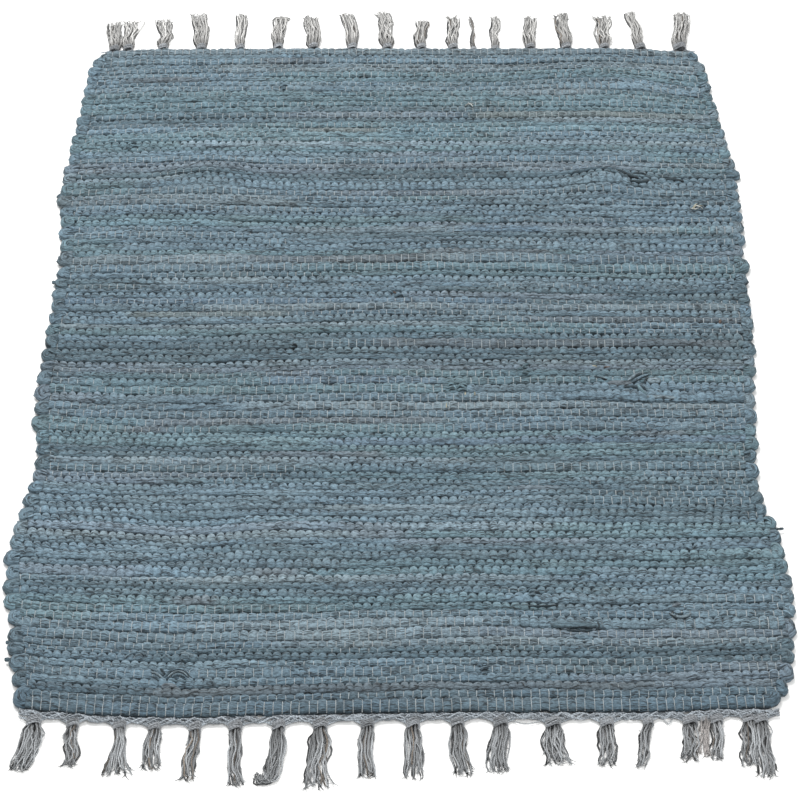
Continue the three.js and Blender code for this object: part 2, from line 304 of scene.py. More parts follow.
# Rags whose colour stands out, and where
STREAKS = rows(
    "along left right dye",
    (7, -320, 320, "ink"),
    (19, -320, 320, "ink"),
    (27, -320, -185, "ink"),
    (27, -185, 190, "taupe"),
    (35, -150, 60, "slate"),
    (43, 220, 320, "lilac"),
    (75, -100, 320, "pale"),
    (86, -120, 60, "pale"),
    (97, -160, 70, "pale"),
    (108, -320, -240, "teal"),
    (121, 80, 320, "slate"),
    (126, -175, -140, "taupe"),
    (145, -240, 120, "pale"),
    (156, -320, -200, "lilac"),
    (156, -115, -75, "taupe"),
    (156, -75, 150, "teal"),
    (175, -110, 190, "deep"),
    (182, -160, 160, "deep"),
    (190, 0, 150, "lilac"),
    (198, -320, -40, "pale"),
    (206, 0, 120, "pale"),
    (221, -200, -140, "deep"),
    (229, -60, 80, "pale"),
    (255, 90, 130, "taupe"),
    (256, -40, 90, "deep"),
    (263, -190, 320, "deep"),
    (270, -130, -60, "deep"),
    (287, -320, 60, "pale"),
    (270, -60, 200, "teal"),
    (289, 60, 220, "deep"),
    (298, -115, -15, "taupe"),
    (314, -60, 320, "blue"),
    (321, 190, 240, "taupe"),
    (329, -225, -190, "lilac"),
    (340, -210, 40, "taupe"),
    (348, -320, 320, "slate"),
    (381, -320, 50, "teal"),
    (391, -110, 35, "blue"),
    (402, -115, -60, "lilac"),
    (415, -200, 320, "pale"),
    (424, -320, 320, "deep"),
    (433, -320, 320, "deep"),
    (441, -320, -20, "deep"),
    (441, -20, 290, "taupe"),
    (452, -190, 320, "deep"),
    (467, -320, 60, "pale"),
    (477, 110, 320, "taupe"),
    (483, -235, -95, "tan"),
    (490, -175, 320, "pale"),
    (502, -320, 110, "blue"),
    (510, 5, 190, "lilac"),
    (532, -210, -95, "pale"),
    (541, -190, -100, "deep"),
    (555, -320, 190, "pale"),
    (560, -135, 20, "taupe"),
    (560, 60, 320, "slate"),
    (571, 20, 135, "taupe"),
    (596, 90, 215, "deep"),
    (610, -100, 320, "pale"),
    (602, 60, 130, "blue"),
    (602, 245, 285, "teal"),
    (618, 0, 190, "lilac"),
    (656, -10, 65, "teal"),
    (665, -60, 110, "lilac"),
    (679, -190, 320, "deep"),
    (685, -60, 60, "deep"),
    (692, -320, 320, "deep"),
    (700, -60, 100, "deep"),
    (707, 180, 320, "pale"),
    (738, -200, 320, "pale"),
    (720, -30, 70, "lilac"),
    (766, -90, -20, "tan"),
    (784, -110, 60, "lilac"),
    (790, 70, 285, "tan"),
    (796, -100, 100, "deep"),
    (826, 100, 190, "pale"),
    (842, 0, 200, "deep"),
    (838, -265, -205, "deep"),
    (851, -260, -190, "taupe"),
    (877, -130, -70, "taupe"),
)

# Where one rag ends and the next is joined in: loose tails, loops and lumps on the top
JOINS = rows(
    "across along size tails deep",
    (-90, 443, 11, 3, 0.85),
    (-3, 510, 8, 2, 0.85),
    (49, 383, 14, 4, 1),
    (105, 405, 9, 2, 0.85),
    (210, 320, 9, 2, 1),
    (-75, 46, 9, 2, 0.85),
    (104, 129, 9, 3, 0.8),
    (63, 43, 10, 3, 0.85),
    (274, 173, 11, 3, 0.85),
    (69, 838, 9, 3, 1),
    (-250, 736, 12, 3, 1),
    (-110, 834, 8, 2, 0.85),
)

# Single folds of loose rag, and bits of thread and lint: from where to where, how far they bow to the
# left of that way, their half width, and how far they stand above the rows. The darkest are strips of
# painted shadow beside a raised fold or in a join's hole
FOLDS = rows(
    "start stop bow fat up dye",
    ((176, 385), (196, 385), 0, 3.8, 0.6, "taupe"),
    ((193, 387), (206, 398), 1, 1.5, 1.3, "pale"),
    ((197, 385), (211, 395), 1, 1.5, 1.2, "slate"),
    ((189, 380), (204, 380), 0, 1.6, 0.5, "hollow"),
    ((201, 383), (208, 370), -1, 1.6, 1.2, "teal"),
    ((205, 384), (213, 373), -1, 1.6, 1.0, "slate"),
    ((210, 387), (221, 387), 1, 3.6, 0.9, "pale"),
    ((208, 384), (212, 391), 2, 1.0, 0.6, "hollow"),
    ((206, 368), (234, 366), 0, 2.4, 0.7, "pale"),
    ((165, 394), (176, 389), 0, 0.9, 0.4, "hollow"),
    ((-177, 40), (-156, 40), 9, 1.0, 0.8, "slate"),
    ((-174, 40), (-158, 40), 6, 1.0, 1.0, "pale"),
    ((-171, 40), (-161, 40), 3, 1.0, 1.1, "slate"),
    ((-173, 38), (-158, 37), -1, 1.0, 0.6, "deep"),
    ((-187, 48), (-177, 42), 1, 1.0, 0.7, "slate"),
    ((-187, 45), (-178, 39), 1, 1.0, 0.8, "pale"),
    ((-186, 41), (-179, 36), 1, 1.0, 0.6, "slate"),
    ((-180, 49), (-176, 43), 0, 0.9, 1.0, "hollow"),
    ((-179, 31), (-167, 31), 1, 2.6, 0.6, "taupe"),
    ((-206, 61), (-199, 67), 1, 1.3, 0.9, "slate"),
    ((-200, 67), (-190, 61), 1, 1.3, 0.9, "slate"),
    ((-207, 59), (-203, 64), 0, 0.8, 0.6, "hollow"),
    ((-182, 60), (-170, 61), 1, 1.6, 0.7, "deep"),
    ((-166, 66), (-155, 62), 1, 1.3, 0.9, "pale"),
    ((117, 91), (152, 91), 1, 4.3, 1.5, "deep"),
    ((124, 87), (151, 87), -2, 0.9, 0.4, "hollow"),
    ((151, 86), (153, 96), -2, 0.9, 0.4, "hollow"),
    ((134, 78), (149, 77), 1, 3.0, 1.0, "slate"),
    ((135, 74), (148, 74), -1, 0.9, 0.2, "hollow"),
    ((100, 113), (124, 114), -1, 0.9, 0.3, "hollow"),
    ((209, 105), (226, 104), -5, 1.2, 1.2, "pale"),
    ((211, 108), (222, 107), -3, 1.8, 0.3, "hollow"),
    ((212, 112), (219, 116), 1, 1.6, 0.8, "taupe"),
    ((205, 114), (211, 115), 1, 1.2, 0.7, "deep"),
    ((194, 682), (210, 675), 1, 1.8, 0.9, "deep"),
    ((201, 687), (220, 679), -2, 2.0, 1.1, "hollow"),
    ((207, 679), (231, 683), 2, 2.0, 1.0, "deep"),
    ((211, 673), (229, 677), -2, 2.0, 1.0, "hollow"),
    ((214, 685), (227, 688), 1, 1.6, 1.0, "hollow"),
    ((245, 683), (261, 680), 1, 2.0, 0.9, "hollow"),
    ((-296, 668), (-311, 659), -1, 2.4, -1.6, "slate"),
    ((-297, 662), (-308, 656), -1, 2.0, -1.8, "teal"),
    ((277, 468), (278, 474), 0, 1.2, 0.6, "brown"),
    ((164, 409), (168, 408), 0, 1.0, 0.4, "straw"),
    ((174, 407), (180, 407), 0, 1.1, 0.5, "brown"),
    ((-6, 511), (-2, 509), 0, 1.0, 0.6, "brown"),
    ((40, 355), (40, 362), 0, 0.6, 0.4, "straw"),
    ((56, 369), (56, 375), 0, 0.6, 0.4, "straw"),
    ((64, 369), (64, 375), 0, 0.6, 0.4, "straw"),
    ((265, 636), (276, 640), 2, 0.6, 1.6, "straw"),
    ((266, 641), (275, 635), 1, 0.6, 1.8, "lint"),
    ((268, 634), (271, 644), 2, 0.6, 1.5, "straw"),
    ((263, 638), (272, 638), -3, 0.6, 1.4, "lint"),
    ((63, 799), (71, 802), 2, 0.6, 1.4, "lint"),
    ((65, 803), (70, 797), 1, 0.6, 1.5, "lint"),
    ((296, 754), (300, 762), 1, 0.6, 0.4, "straw"),
)

# Stubs of rag at the sides, and turns that bulge out further than the others
SIDE_TAGS = rows(
    "across along out up fat",
    (297, 204, 10, 1.5, 1.3),
    (-298, 531, -6, 0.5, 2.2),
    (303, 624, 6, 0.5, 1.3),
    (-293, 71, -7, 1.0, 2.2),
    (-293, 52, -6, 0.5, 2.0),
    (285, 268, 5, 0.5, 1.8),
)
LOOSE_TURNS = rows(
    "along side out",
    (661, -1, 5.0),
    (604, -1, 2.5),
    (492, -1, 1.5),
    (380, -1, 2.0),
    (338, -1, 3.0),
    (262, -1, 2.0),
    (553, 1, 3.0),
    (395, 1, 2.0),
    (359, 1, 4.0),
    (318, 1, 4.0),
    (218, 1, 2.0),
    (695, 1, 3.0),
    (800, 1, 3.0),
    (30, 1, 2.0),
    (115, 1, 2.0),
)

# Tassels: where the knot sits, the tip's reach from the cloth and its lean to the right, the spread
# at the tip, the yarns, the knot's size, how far a stray yarn strays, the radius of a curl at the tip
# (below 0 to the left), and 1 where the bunch flares from its knot, or where it is pale lint
NEAR_TASSELS = rows(
    "across reach lean spread yarns knot stray curl flare pale",
    (-271, 57, -5, 15, 19, 13, 0),
    (-242, 50, 1, 9, 13, 11, 0),
    (-207, 57, 1, 19, 15, 11, 0, 0, 1),
    (-181, 50, -1, 13, 14, 11, 0),
    (-151, 60, -4, 10, 13, 11, 0),
    (-121, 66, 2, 11, 13, 12, 0),
    (-89, 77, -4, 12, 14, 12, 0, -4),
    (-58, 71, -3, 17, 15, 13, 13),
    (-23, 61, 0, 12, 13, 12, 0),
    (11, 62, 1, 13, 13, 12, 0),
    (44, 61, 3, 13, 14, 12, 0),
    (76, 57, -3, 14, 15, 13, 0),
    (115, 50, 1, 16, 17, 14, 11),
    (155, 51, -1, 13, 13, 12, 0),
    (186, 53, -8, 7, 7, 9, 0),
    (217, 49, -2, 11, 12, 13, 0),
    (228, 43, -1, 8, 8, 7, 0, 0, 0, 1),
    (237, 47, -1, 9, 11, 11, 0),
    (261, 54, -1, 13, 13, 11, 0),
    (270, 66, 0, 13, 14, 12, 0),
)
FAR_TASSELS = rows(
    "across reach lean spread yarns knot stray curl flare pale",
    (-276, 57, -2, 13, 13, 13, 0),
    (-263, 58, 1, 15, 14, 13, 13),
    (-229, 59, 0, 13, 14, 12, -10),
    (-192, 69, -4, 15, 14, 12, 0),
    (-154, 68, -1, 11, 12, 11, 0),
    (-117, 74, -1, 11, 13, 12, 0, 3),
    (-83, 63, -3, 14, 14, 12, 0),
    (-45, 68, -4, 13, 13, 12, 0),
    (-11, 71, -4, 13, 13, 12, 0),
    (22, 56, 1, 12, 13, 12, -9),
    (53, 63, 1, 12, 13, 12, 0),
    (73, 63, -2, 3, 3, 7, 0),
    (94, 63, 1, 8, 9, 9, 0),
    (128, 63, 1, 11, 13, 12, 0),
    (163, 69, -3, 13, 14, 13, 0),
    (200, 64, 1, 15, 14, 12, 0),
    (235, 72, -6, 10, 13, 14, 0),
    (273, 74, 7, 15, 15, 17, 0),
)

# Loose yarns along the ends, between the tassels
LOOSE_YARNS = rows(
    "end left right out tan",
    ("near", 82, 108, 4.0, False),
    ("near", 198, 204, 5.0, False),
    ("far", 94, 128, 2.0, False),
    ("far", 130, 163, 3.0, True),
    ("far", 163, 200, 2.0, False),
    ("far", 202, 235, 3.0, True),
    ("far", 236, 271, 2.0, False),
    ("far", -274, -262, 3.5, False),
)


# Each kind of part has its own seed, so a change to one leaves the others as they are
SEEDS = dict(
    places=11,
    valleys=23,
    yarns=41,
    shows=3000,
    heights=5000,
    dyes=7000,
    shades=8000,
    rags=9000,
    left_turns=12000,
    left_creases=12500,
    right_turns=13000,
    right_creases=13500,
    tucks=14000,
    joins=15000,
    folds=15500,
    tags=16000,
    near_tassels=17000,
    far_tassels=18000,
    near_header=19000,
    far_header=19500,
)


# Small tools

def seeded(kind, n=0):
    """The random numbers of one part, the same on each run."""
    return np.random.default_rng(SEEDS[kind] + n)


def colour(code):
    """An sRGB hex code as linear red, green and blue."""
    values = np.array([int(code[i:i + 2], 16) for i in (1, 3, 5)]) / 255
    return np.where(values <= 0.04045, values / 12.92, ((values + 0.055) / 1.055) ** 2.4)


def uneven(i, kind):
    """A repeatable number from -1 to 1 for each pair of whole numbers."""
    wave = math.sin(i * 12.9898 + kind * 78.233) * 43758.5453
    return (wave - math.floor(wave)) * 2 - 1


def ease(share):
    return share * share * (3 - 2 * share)


def read_table(table, key, column, at):
    """A table's column, eased between its rows."""
    places = np.array([row[key] for row in table], float)
    values = np.array([row[column] for row in table], float)
    at = np.asarray(at, float)
    i = np.clip(np.searchsorted(places, at) - 1, 0, len(places) - 2)
    share = np.clip((at - places[i]) / (places[i + 1] - places[i]), 0, 1)
    return values[i] + (values[i + 1] - values[i]) * (share + ease(share)) / 2


def soft_wave(rng, at, spacing, shape=()):
    """Random waves from -1 to 1 along a line, one for each place in the shape, with a new height
    every so many millimetres."""
    at = np.asarray(at, float)
    share = (at + 2000) / spacing
    first = int(share.min())
    heights = rng.uniform(-1, 1, (*shape, int(share.max()) - first + 2))
    i = share.astype(int) - first
    f = ease(share - share.astype(int))
    return heights[..., i] * (1 - f) + heights[..., i + 1] * f


# The shape of the cloth as a whole

def row_starts():
    """The distances along the mat at which each row starts, and the far edge last."""
    starts = [0.0]
    for width in FIRST_ROWS:
        starts.append(starts[-1] + width)
    for stretch in STRETCHES:
        n = len(starts)
        widths = [1 + ROW_UNEVENNESS * uneven(n + i, 1) for i in range(stretch["rows"])]
        scale = (stretch["until"] - starts[-1]) / sum(widths)
        for width in widths:
            starts.append(starts[-1] + width * scale)
    return np.array(starts)


def low_hill(place, across, along):
    """1 in the middle of a place, and nothing outside it."""
    x = (across - place["across"]) / place["wide"]
    y = (along - place["along"]) / place["long"]
    return np.cos(np.pi * np.minimum(1, np.hypot(x, y)) / 2) ** 2


def wander(across, along):
    inside = np.sin(np.pi * np.clip(along / CLOTH_LENGTH, 0, 1)) ** 0.5
    slow = np.sin(across / 105 + along / 61) + 0.6 * np.sin(across / 47 - along / 83 + 1.3)
    aside = sum(bend["shift"] * low_hill(bend, across, along) for bend in BENDS)
    return ROW_WANDER * inside * slow / 1.6 + aside


def floor_y(across, along):
    """Where a point of the cloth lies on the floor, towards the far end."""
    share = np.clip(np.asarray(along, float) / CLOTH_LENGTH, 0, 1)
    near = read_table(NEAR_EDGE, "across", "shift", across) * (1 - share) ** 3
    far = read_table(FAR_EDGE, "across", "shift", across) * share ** 3
    return NEAR_EDGE_Y + along + near + far + wander(across, along)


def pucker_height(across, along):
    return sum(pucker["high"] * low_hill(pucker, across, along) for pucker in PUCKERS)


STARTS = row_starts()
ROWS = len(STARTS) - 1
MIDDLES = (STARTS[:-1] + STARTS[1:]) / 2
WIDTHS = np.diff(STARTS)
LEFT_SIDE = -read_table(OUTLINE, "along", "left", MIDDLES)
RIGHT_SIDE = read_table(OUTLINE, "along", "right", MIDDLES)


def warp_places():
    """Where each warp end crosses each row: rows by ends."""
    rng = seeded("places")
    share = np.linspace(0, 1, WARP_ENDS)[None, :]
    left = (LEFT_SIDE + SELVEDGE_LEFT)[:, None]
    right = (RIGHT_SIDE - SELVEDGE_RIGHT)[:, None]
    sway = 0.45 * soft_wave(rng, MIDDLES, 70, (WARP_ENDS,)).T
    jitter = 0.22 * rng.uniform(-1, 1, (ROWS, WARP_ENDS))
    return left + (right - left) * share + sway + jitter


def valley_shifts():
    """How far each valley between two rows strays, as a function of the place across."""
    knots = np.arange(-340, 341, 4.0)
    rng = seeded("valleys")
    room = np.minimum(WIDTHS[:-1], WIDTHS[1:])[:, None]
    slow = soft_wave(rng, knots, 46, (ROWS - 1,)) * 0.1 + soft_wave(rng, knots, 150, (ROWS - 1,)) * 0.15
    quick = soft_wave(rng, knots, 15, (ROWS - 1,)) * 0.06
    shifts = np.zeros((ROWS + 1, len(knots)))
    shifts[1:-1] = room * (slow + quick)
    shifts[1:2] *= 0.4
    return knots, shifts


WARP_X = warp_places()
VALLEY_KNOTS, VALLEYS = valley_shifts()


def row_edges(row, across):
    """The two valleys beside a row, at places across it."""
    low = STARTS[row] + np.interp(across, VALLEY_KNOTS, VALLEYS[row])
    high = STARTS[row + 1] + np.interp(across, VALLEY_KNOTS, VALLEYS[row + 1])
    return low, high


def warp_shows(row, across):
    """From 0 where a row's rag has closed over the warp to 1 where the yarn lies on it."""
    rng = seeded("shows", row)
    usual = read_table(WARP_SHOWS, "along", "shows", MIDDLES[row])
    usual = np.full(np.shape(across), float(usual + 0.3 * rng.uniform(-1, 1)))
    for seen in STITCHES:
        if STARTS[row] <= seen["along"] < STARTS[row + 1]:
            usual[(across >= seen["left"]) & (across < seen["right"])] = seen["shows"]
    part = 0.22 * soft_wave(rng, across, 90) + 0.16 * soft_wave(rng, across, 22)
    at_side = np.clip(1 - (across - across.min()) / 9, 0, 1) + np.clip(1 - (across.max() - across) / 9, 0, 1)
    return np.clip((usual + part + 0.4 * at_side - 0.35) / 0.3, 0, 1)


def rag_height(row, across):
    """The height of a rag's crown, which is fuller in a wide row."""
    rng = seeded("heights", row)
    low, high = row_edges(row, across)
    fuller = FULLER * (high - low - ROW_USUAL)
    return RAG_HEIGHT + fuller + 0.35 * rng.uniform(-1, 1) + 0.3 * soft_wave(rng, across, 30)


# Rag colours

def row_dyes(row, across):
    """A row's colour along it: one or two rags, with streaks over them, each a little uneven."""
    rng = seeded("dyes", row // 2)
    first, second = rng.choice(USUAL_DYES, 2)
    change = rng.uniform(-280, 280)
    names = np.where(across < change, first, second).astype(object)
    for streak in STREAKS:
        if STARTS[row] <= streak["along"] < STARTS[row + 1]:
            names[(across >= streak["left"]) & (across < streak["right"])] = streak["dye"]
    usual = colour(DYES["slate"]) * DYE_LIKENESS
    mixed = {name: usual + colour(code) * (1 - DYE_LIKENESS) for name, code in DYES.items()}
    dyes = np.array([mixed[name] for name in names])
    if len(across) > RAG_BLEND:
        ends = ((RAG_BLEND // 2, RAG_BLEND // 2), (0, 0))
        padded = np.pad(dyes, ends, mode="edge")
        dyes = sum(padded[i:i + len(across)] for i in range(RAG_BLEND)) / RAG_BLEND
    rng = seeded("shades", row)
    shade = 1 + 0.07 * rng.uniform(-1, 1)
    shade = shade + 0.09 * soft_wave(rng, across, 70) + 0.03 * soft_wave(rng, across, 9)
    warm = 0.028 * soft_wave(rng, across, 38)
    shade = shade * read_table(PALENESS_ALONG, "along", "pale", MIDDLES[row])
    tint = np.stack([0.99 + warm, np.ones_like(warm), 1.005 - warm], axis=1)
    return dyes * shade[:, None] * tint


# Meshes from tubes

PATTERN_STEP = 700        # so far apart that no two strips show the same creases


def ring_tube(centres, frames_u, frames_v, radii_u, radii_v, angles, power=1.0):
    """Rings round a line of centres: rings by sides by 3. The power makes a section squarer."""
    c, s = np.cos(angles), np.sin(angles)
    c = np.sign(c) * np.abs(c) ** power
    s = np.sign(s) * np.abs(s) ** power
    u = (radii_u[:, None] * c[None, :])[..., None] * frames_u[:, None, :]
    v = (radii_v[:, None] * s[None, :])[..., None] * frames_v[:, None, :]
    return centres[:, None, :] + u + v


def yarn_tube(points, radius, sides=4, turn=0.0, tallest=np.inf):
    """A tube of round section along any line of points. The radius may change along it, and where it
    is more than the tallest, the section is flattened."""
    points = np.asarray(points, float)
    along = np.gradient(points, axis=0)
    along /= np.maximum(np.linalg.norm(along, axis=1, keepdims=True), 1e-9)
    up = np.array([0.03, 0.02, 1.0])
    side = np.cross(along, up)
    side /= np.maximum(np.linalg.norm(side, axis=1, keepdims=True), 1e-9)
    lift = np.cross(side, along)
    radii = np.broadcast_to(radius, len(points)).astype(float)
    angles = turn + np.arange(sides) * 2 * np.pi / sides
    return ring_tube(points, side, lift, radii, np.minimum(radii, tallest), angles)


def tubes_mesh(name, parts, material):
    """Joins closed tubes, each given with its colours, into one piece. It keeps for every point its
    colour and its place in the strip or yarn before weaving. On the bake map each tube is one strip,
    laid end to end on as many shelves as they need."""
    tubes, dyes = zip(*parts)
    points, faces, corners_u, corners_v, tints, strips = [], [], [], [], [], []
    lengths = [np.linalg.norm(np.diff(t.mean(axis=1), axis=0), axis=1) for t in tubes]
    totals = np.array([max(length.sum(), 1.0) for length in lengths])
    middles = [t[len(t) // 2] for t in tubes]
    girths = [np.linalg.norm(ring - np.roll(ring, 1, axis=0), axis=1).sum() for ring in middles]
    shelf = max(totals.max(), math.sqrt((totals * np.mean(girths)).sum()))
    at, level, places = 0.0, 0, []
    for total in totals:
        if at > 0 and at + total > shelf * 1.001:
            at, level = 0.0, level + 1
        places.append((at, level))
        at += total
    levels = level + 1
    offset = 0
    for number, (tube, length, (at, level), tint) in enumerate(zip(tubes, lengths, places, dyes)):
        rings, sides, _ = tube.shape
        points.append(tube.reshape(-1, 3))
        shade = np.asarray(tint, float)
        shade = shade[:, None, :] if shade.ndim == 2 else shade
        tints.append(np.broadcast_to(shade, (rings, sides, 3)).reshape(-1, 3))
        reach = np.concatenate([[0], np.cumsum(length)])
        angle = np.arange(sides) * 2 * np.pi / sides
        radius = girths[number] / (2 * np.pi)
        strip = np.empty((rings, sides, 3))
        strip[..., 0] = reach[:, None] + PATTERN_STEP * number
        strip[..., 1] = radius * np.cos(angle)
        strip[..., 2] = radius * np.sin(angle)
        strips.append(strip.reshape(-1, 3))
        n, j = np.meshgrid(np.arange(rings - 1), np.arange(sides), indexing="ij")
        n, j = n.ravel(), j.ravel()
        k = (j + 1) % sides
        quads = np.stack([n * sides + j, n * sides + k, (n + 1) * sides + k, (n + 1) * sides + j], 1)
        faces += (quads + offset).tolist()
        start = np.arange(sides) + offset
        faces += [start[::-1].tolist(), (start + (rings - 1) * sides).tolist()]
        u = (at + np.stack([reach[n], reach[n], reach[n + 1], reach[n + 1]], 1)) / shelf
        v = (level + 0.04 + 0.92 * np.stack([j, j + 1, j + 1, j], 1) / sides) / levels
        corners_u += [u.ravel(), np.full(2 * sides, at / shelf)]
        corners_v += [v.ravel(), np.full(2 * sides, (level + 0.5) / levels)]
        offset += rings * sides
    me = bpy.data.meshes.new(name)
    me.from_pydata((np.concatenate(points) * MM).tolist(), [], faces)
    me.polygons.foreach_set("use_smooth", np.ones(len(me.polygons), bool))
    uv = me.uv_layers.new(name="OFBake")
    uv.data.foreach_set("uv", np.stack(
        [np.concatenate(corners_u), np.concatenate(corners_v)], 1).astype(np.float32).ravel())
    # The colour kept as dye holds any painted shade and highlight that the parts multiplied into it
    for label, values in (("dye", np.concatenate(tints)), ("strip", np.concatenate(strips) * MM)):
        kept = me.attributes.new(label, "FLOAT_VECTOR", "POINT")
        kept.data.foreach_set("vector", values.astype(np.float32).ravel())
    me.materials.append(material)
    me.update()
    piece = bpy.data.objects.new(name, me)
    bpy.context.scene.collection.objects.link(piece)
    return piece


# The weft: one rag to a row, pinched by the warp from above and from below in turn

# Round a rag's section, from the near valley over the crown to the far valley and back below
RAG_ANGLES = np.radians([5, 44, 90, 136, 175, 236, 304])
RAG_SQUARENESS = 0.7     # 1 is an ellipse, and less is squarer: the rows press each other flat
# Between two stitches on the top: how far along, and the pinch from above, from below and sideways
KNUCKLE = rows(
    "at above below wide",
    (0.0, 1.0, 0.0, 0.78),
    (0.17, 0.2, 0.12, 1.03),
    (0.5, -0.04, 1.0, 1.11),
    (0.83, 0.2, 0.12, 1.03),
)
PINCH_SHOWN, PINCH_CLOSED = 0.9, 1.7     # how deep a stitch draws the rag in, by how the yarn lies
PINCH_BELOW = 1.2
FOLD_GROOVE = 0.16        # how deep the groove is where a folded rag shows both its edges on top


def rag_places(row):
    """The places across at which a rag's section is made, each one's step in its knuckle, and which
    knuckle that is."""
    stitches = WARP_X[row, row % 2::2]
    at = np.array([step["at"] for step in KNUCKLE])
    inner = stitches[:-1, None] + np.diff(stitches)[:, None] * at[None, :]
    across = np.concatenate([inner.ravel(), stitches[-1:]])
    steps = np.concatenate([np.tile(np.arange(len(KNUCKLE)), len(stitches) - 1), [0]])
    tuck = 3.2
    before = [stitches[0] - tuck * 1.6, stitches[0] - tuck * 0.6]
    after = [stitches[-1] + tuck * 0.6, stitches[-1] + tuck * 1.6]
    across = np.concatenate([before, across, after])
    steps = np.concatenate([[2, 2], steps, [2, 2]])
    knuckles = np.minimum((np.arange(len(across)) + 2) // len(KNUCKLE), len(stitches))
    return across, steps, knuckles


def rag_tube(row):
    """One row of the weft as a closed tube, and its colours, with painted shade and highlight in them."""
    across, steps, knuckles = rag_places(row)
    rng = seeded("rags", row)
    low, high = row_edges(row, across)
    shows = warp_shows(row, across)
    knuckle = {key: np.array([s[key] for s in KNUCKLE])[steps] for key in ("above", "below", "wide")}
    own = rng.uniform(-1, 1, (3, knuckles.max() + 1))[:, knuckles]
    top = rag_height(row, across) + 0.35 * own[0] * (steps != 0)
    drawn = np.maximum(shows, np.clip(0.92 + 0.55 * soft_wave(rng, across, 60), 0.4, 1.15))
    pinch = (PINCH_CLOSED + (PINCH_SHOWN - PINCH_CLOSED) * shows) * drawn
    top = top - knuckle["above"] * pinch * (1 + 0.2 * own[1])
    bottom = RAG_LIFT + knuckle["below"] * PINCH_BELOW
    centre_z = (top + bottom) / 2
    half_z = (top - bottom) / 2
    wide = 1 + (knuckle["wide"] - 1) * (1.4 - 1.0 * shows) * drawn
    apart = np.clip(0.25 + 0.6 * soft_wave(rng, across, 110) + 0.5 * rng.uniform(-1, 1), 0, 1)
    low_y, high_y = floor_y(across, low), floor_y(across, high)
    half_y = (high_y - low_y) / 2 * ROW_SHARE * wide * (1 + 0.05 * own[1]) * (1 - 0.07 * apart)
    centre_y = (low_y + high_y) / 2 + 0.05 * (high - low) * own[2]
    centres = np.stack([across, centre_y, centre_z], 1)
    ones = np.ones((len(across), 1))
    nearer, up = ones * [0, -1, 0], ones * [0, 0, 1]
    rings = ring_tube(centres, nearer, up, half_y, half_z, RAG_ANGLES, RAG_SQUARENESS)
    folds = soft_wave(rng, across, 9, (len(RAG_ANGLES),)).T
    kinks = soft_wave(rng, across, 2.6, (len(RAG_ANGLES),)).T
    swell = 1 + 0.08 * folds + 0.07 * kinks
    doubled = np.clip(1.6 * soft_wave(rng, across, 60) - 0.4, 0, 1)
    swell[:, 2] -= FOLD_GROOVE * doubled
    rings = centres[:, None, :] + (rings - centres[:, None, :]) * swell[..., None]
    share = (rings[..., 1] - low_y[:, None]) / (high_y - low_y)[:, None]
    lift = pucker_height(across[:, None], low[:, None] + share * (high - low)[:, None])
    rings[..., 2] = np.maximum(rings[..., 2], 0.05) + lift
    # Painted shade at the stitches where the rag has closed over the warp, and a touch of painted light
    # between them
    painted_stitch_shade = 1 + (1 - shows) * drawn * np.where(steps == 0, -0.3, 0.06)
    # Painted shade and highlight round the section, and more painted shade in the near valley where two rows
    # stand apart
    painted_round_shade = np.tile(PAINTED_RAG_LIGHT_AND_SHADE, (len(across), 1))
    painted_round_shade[:, 0] *= 1 - PAINTED_GAP_SHADE * apart
    dyes = row_dyes(row, across)[:, None, :] * painted_round_shade[..., None]
    return rings, dyes * painted_stitch_shade[:, None, None]


def folded_loop(across, along, fat, rng, shade):
    """A length of rag that follows a bent line at the side of the mat, crumpled by the bend."""
    count = len(across)
    z = RAG_HEIGHT * (0.5 + 0.05 * rng.uniform(-1, 1)) + 0.4 + 0.5 * soft_wave(rng, np.arange(count * 1.0), 3)
    lift = pucker_height(across, along)
    centres = np.stack([across, floor_y(across, along), z], 1)
    ways = np.gradient(centres[:, :2], axis=0)
    ways /= np.linalg.norm(ways, axis=1, keepdims=True)
    aside = np.stack([ways[:, 1], -ways[:, 0], np.zeros(count)], 1)
    ups = np.tile([0.0, 0.0, 1.0], (count, 1))
    tall = np.minimum(RAG_HEIGHT * 0.5 + 0.3 * rng.uniform(-1, 1), z - 0.1)
    rings = ring_tube(centres, aside, ups, fat, tall, np.arange(8) * np.pi / 4, 0.75)
    crumple = 1 + 0.13 * rng.uniform(-1, 1, (count, 8))
    rings = centres[:, None, :] + (rings - centres[:, None, :]) * crumple[..., None]
    rings[..., 2] = np.maximum(rings[..., 2], 0.05) + lift[:, None]
    return rings, shade * (1 + 0.14 * rng.uniform(-1, 1, (count, 8, 1)))


SIDES = {
    -1: dict(name="left", edge=LEFT_SIDE, margin=SELVEDGE_LEFT),
    1: dict(name="right", edge=RIGHT_SIDE, margin=SELVEDGE_RIGHT),
}
TURN_POINTS = 11
RIDGE_POINTS = 7


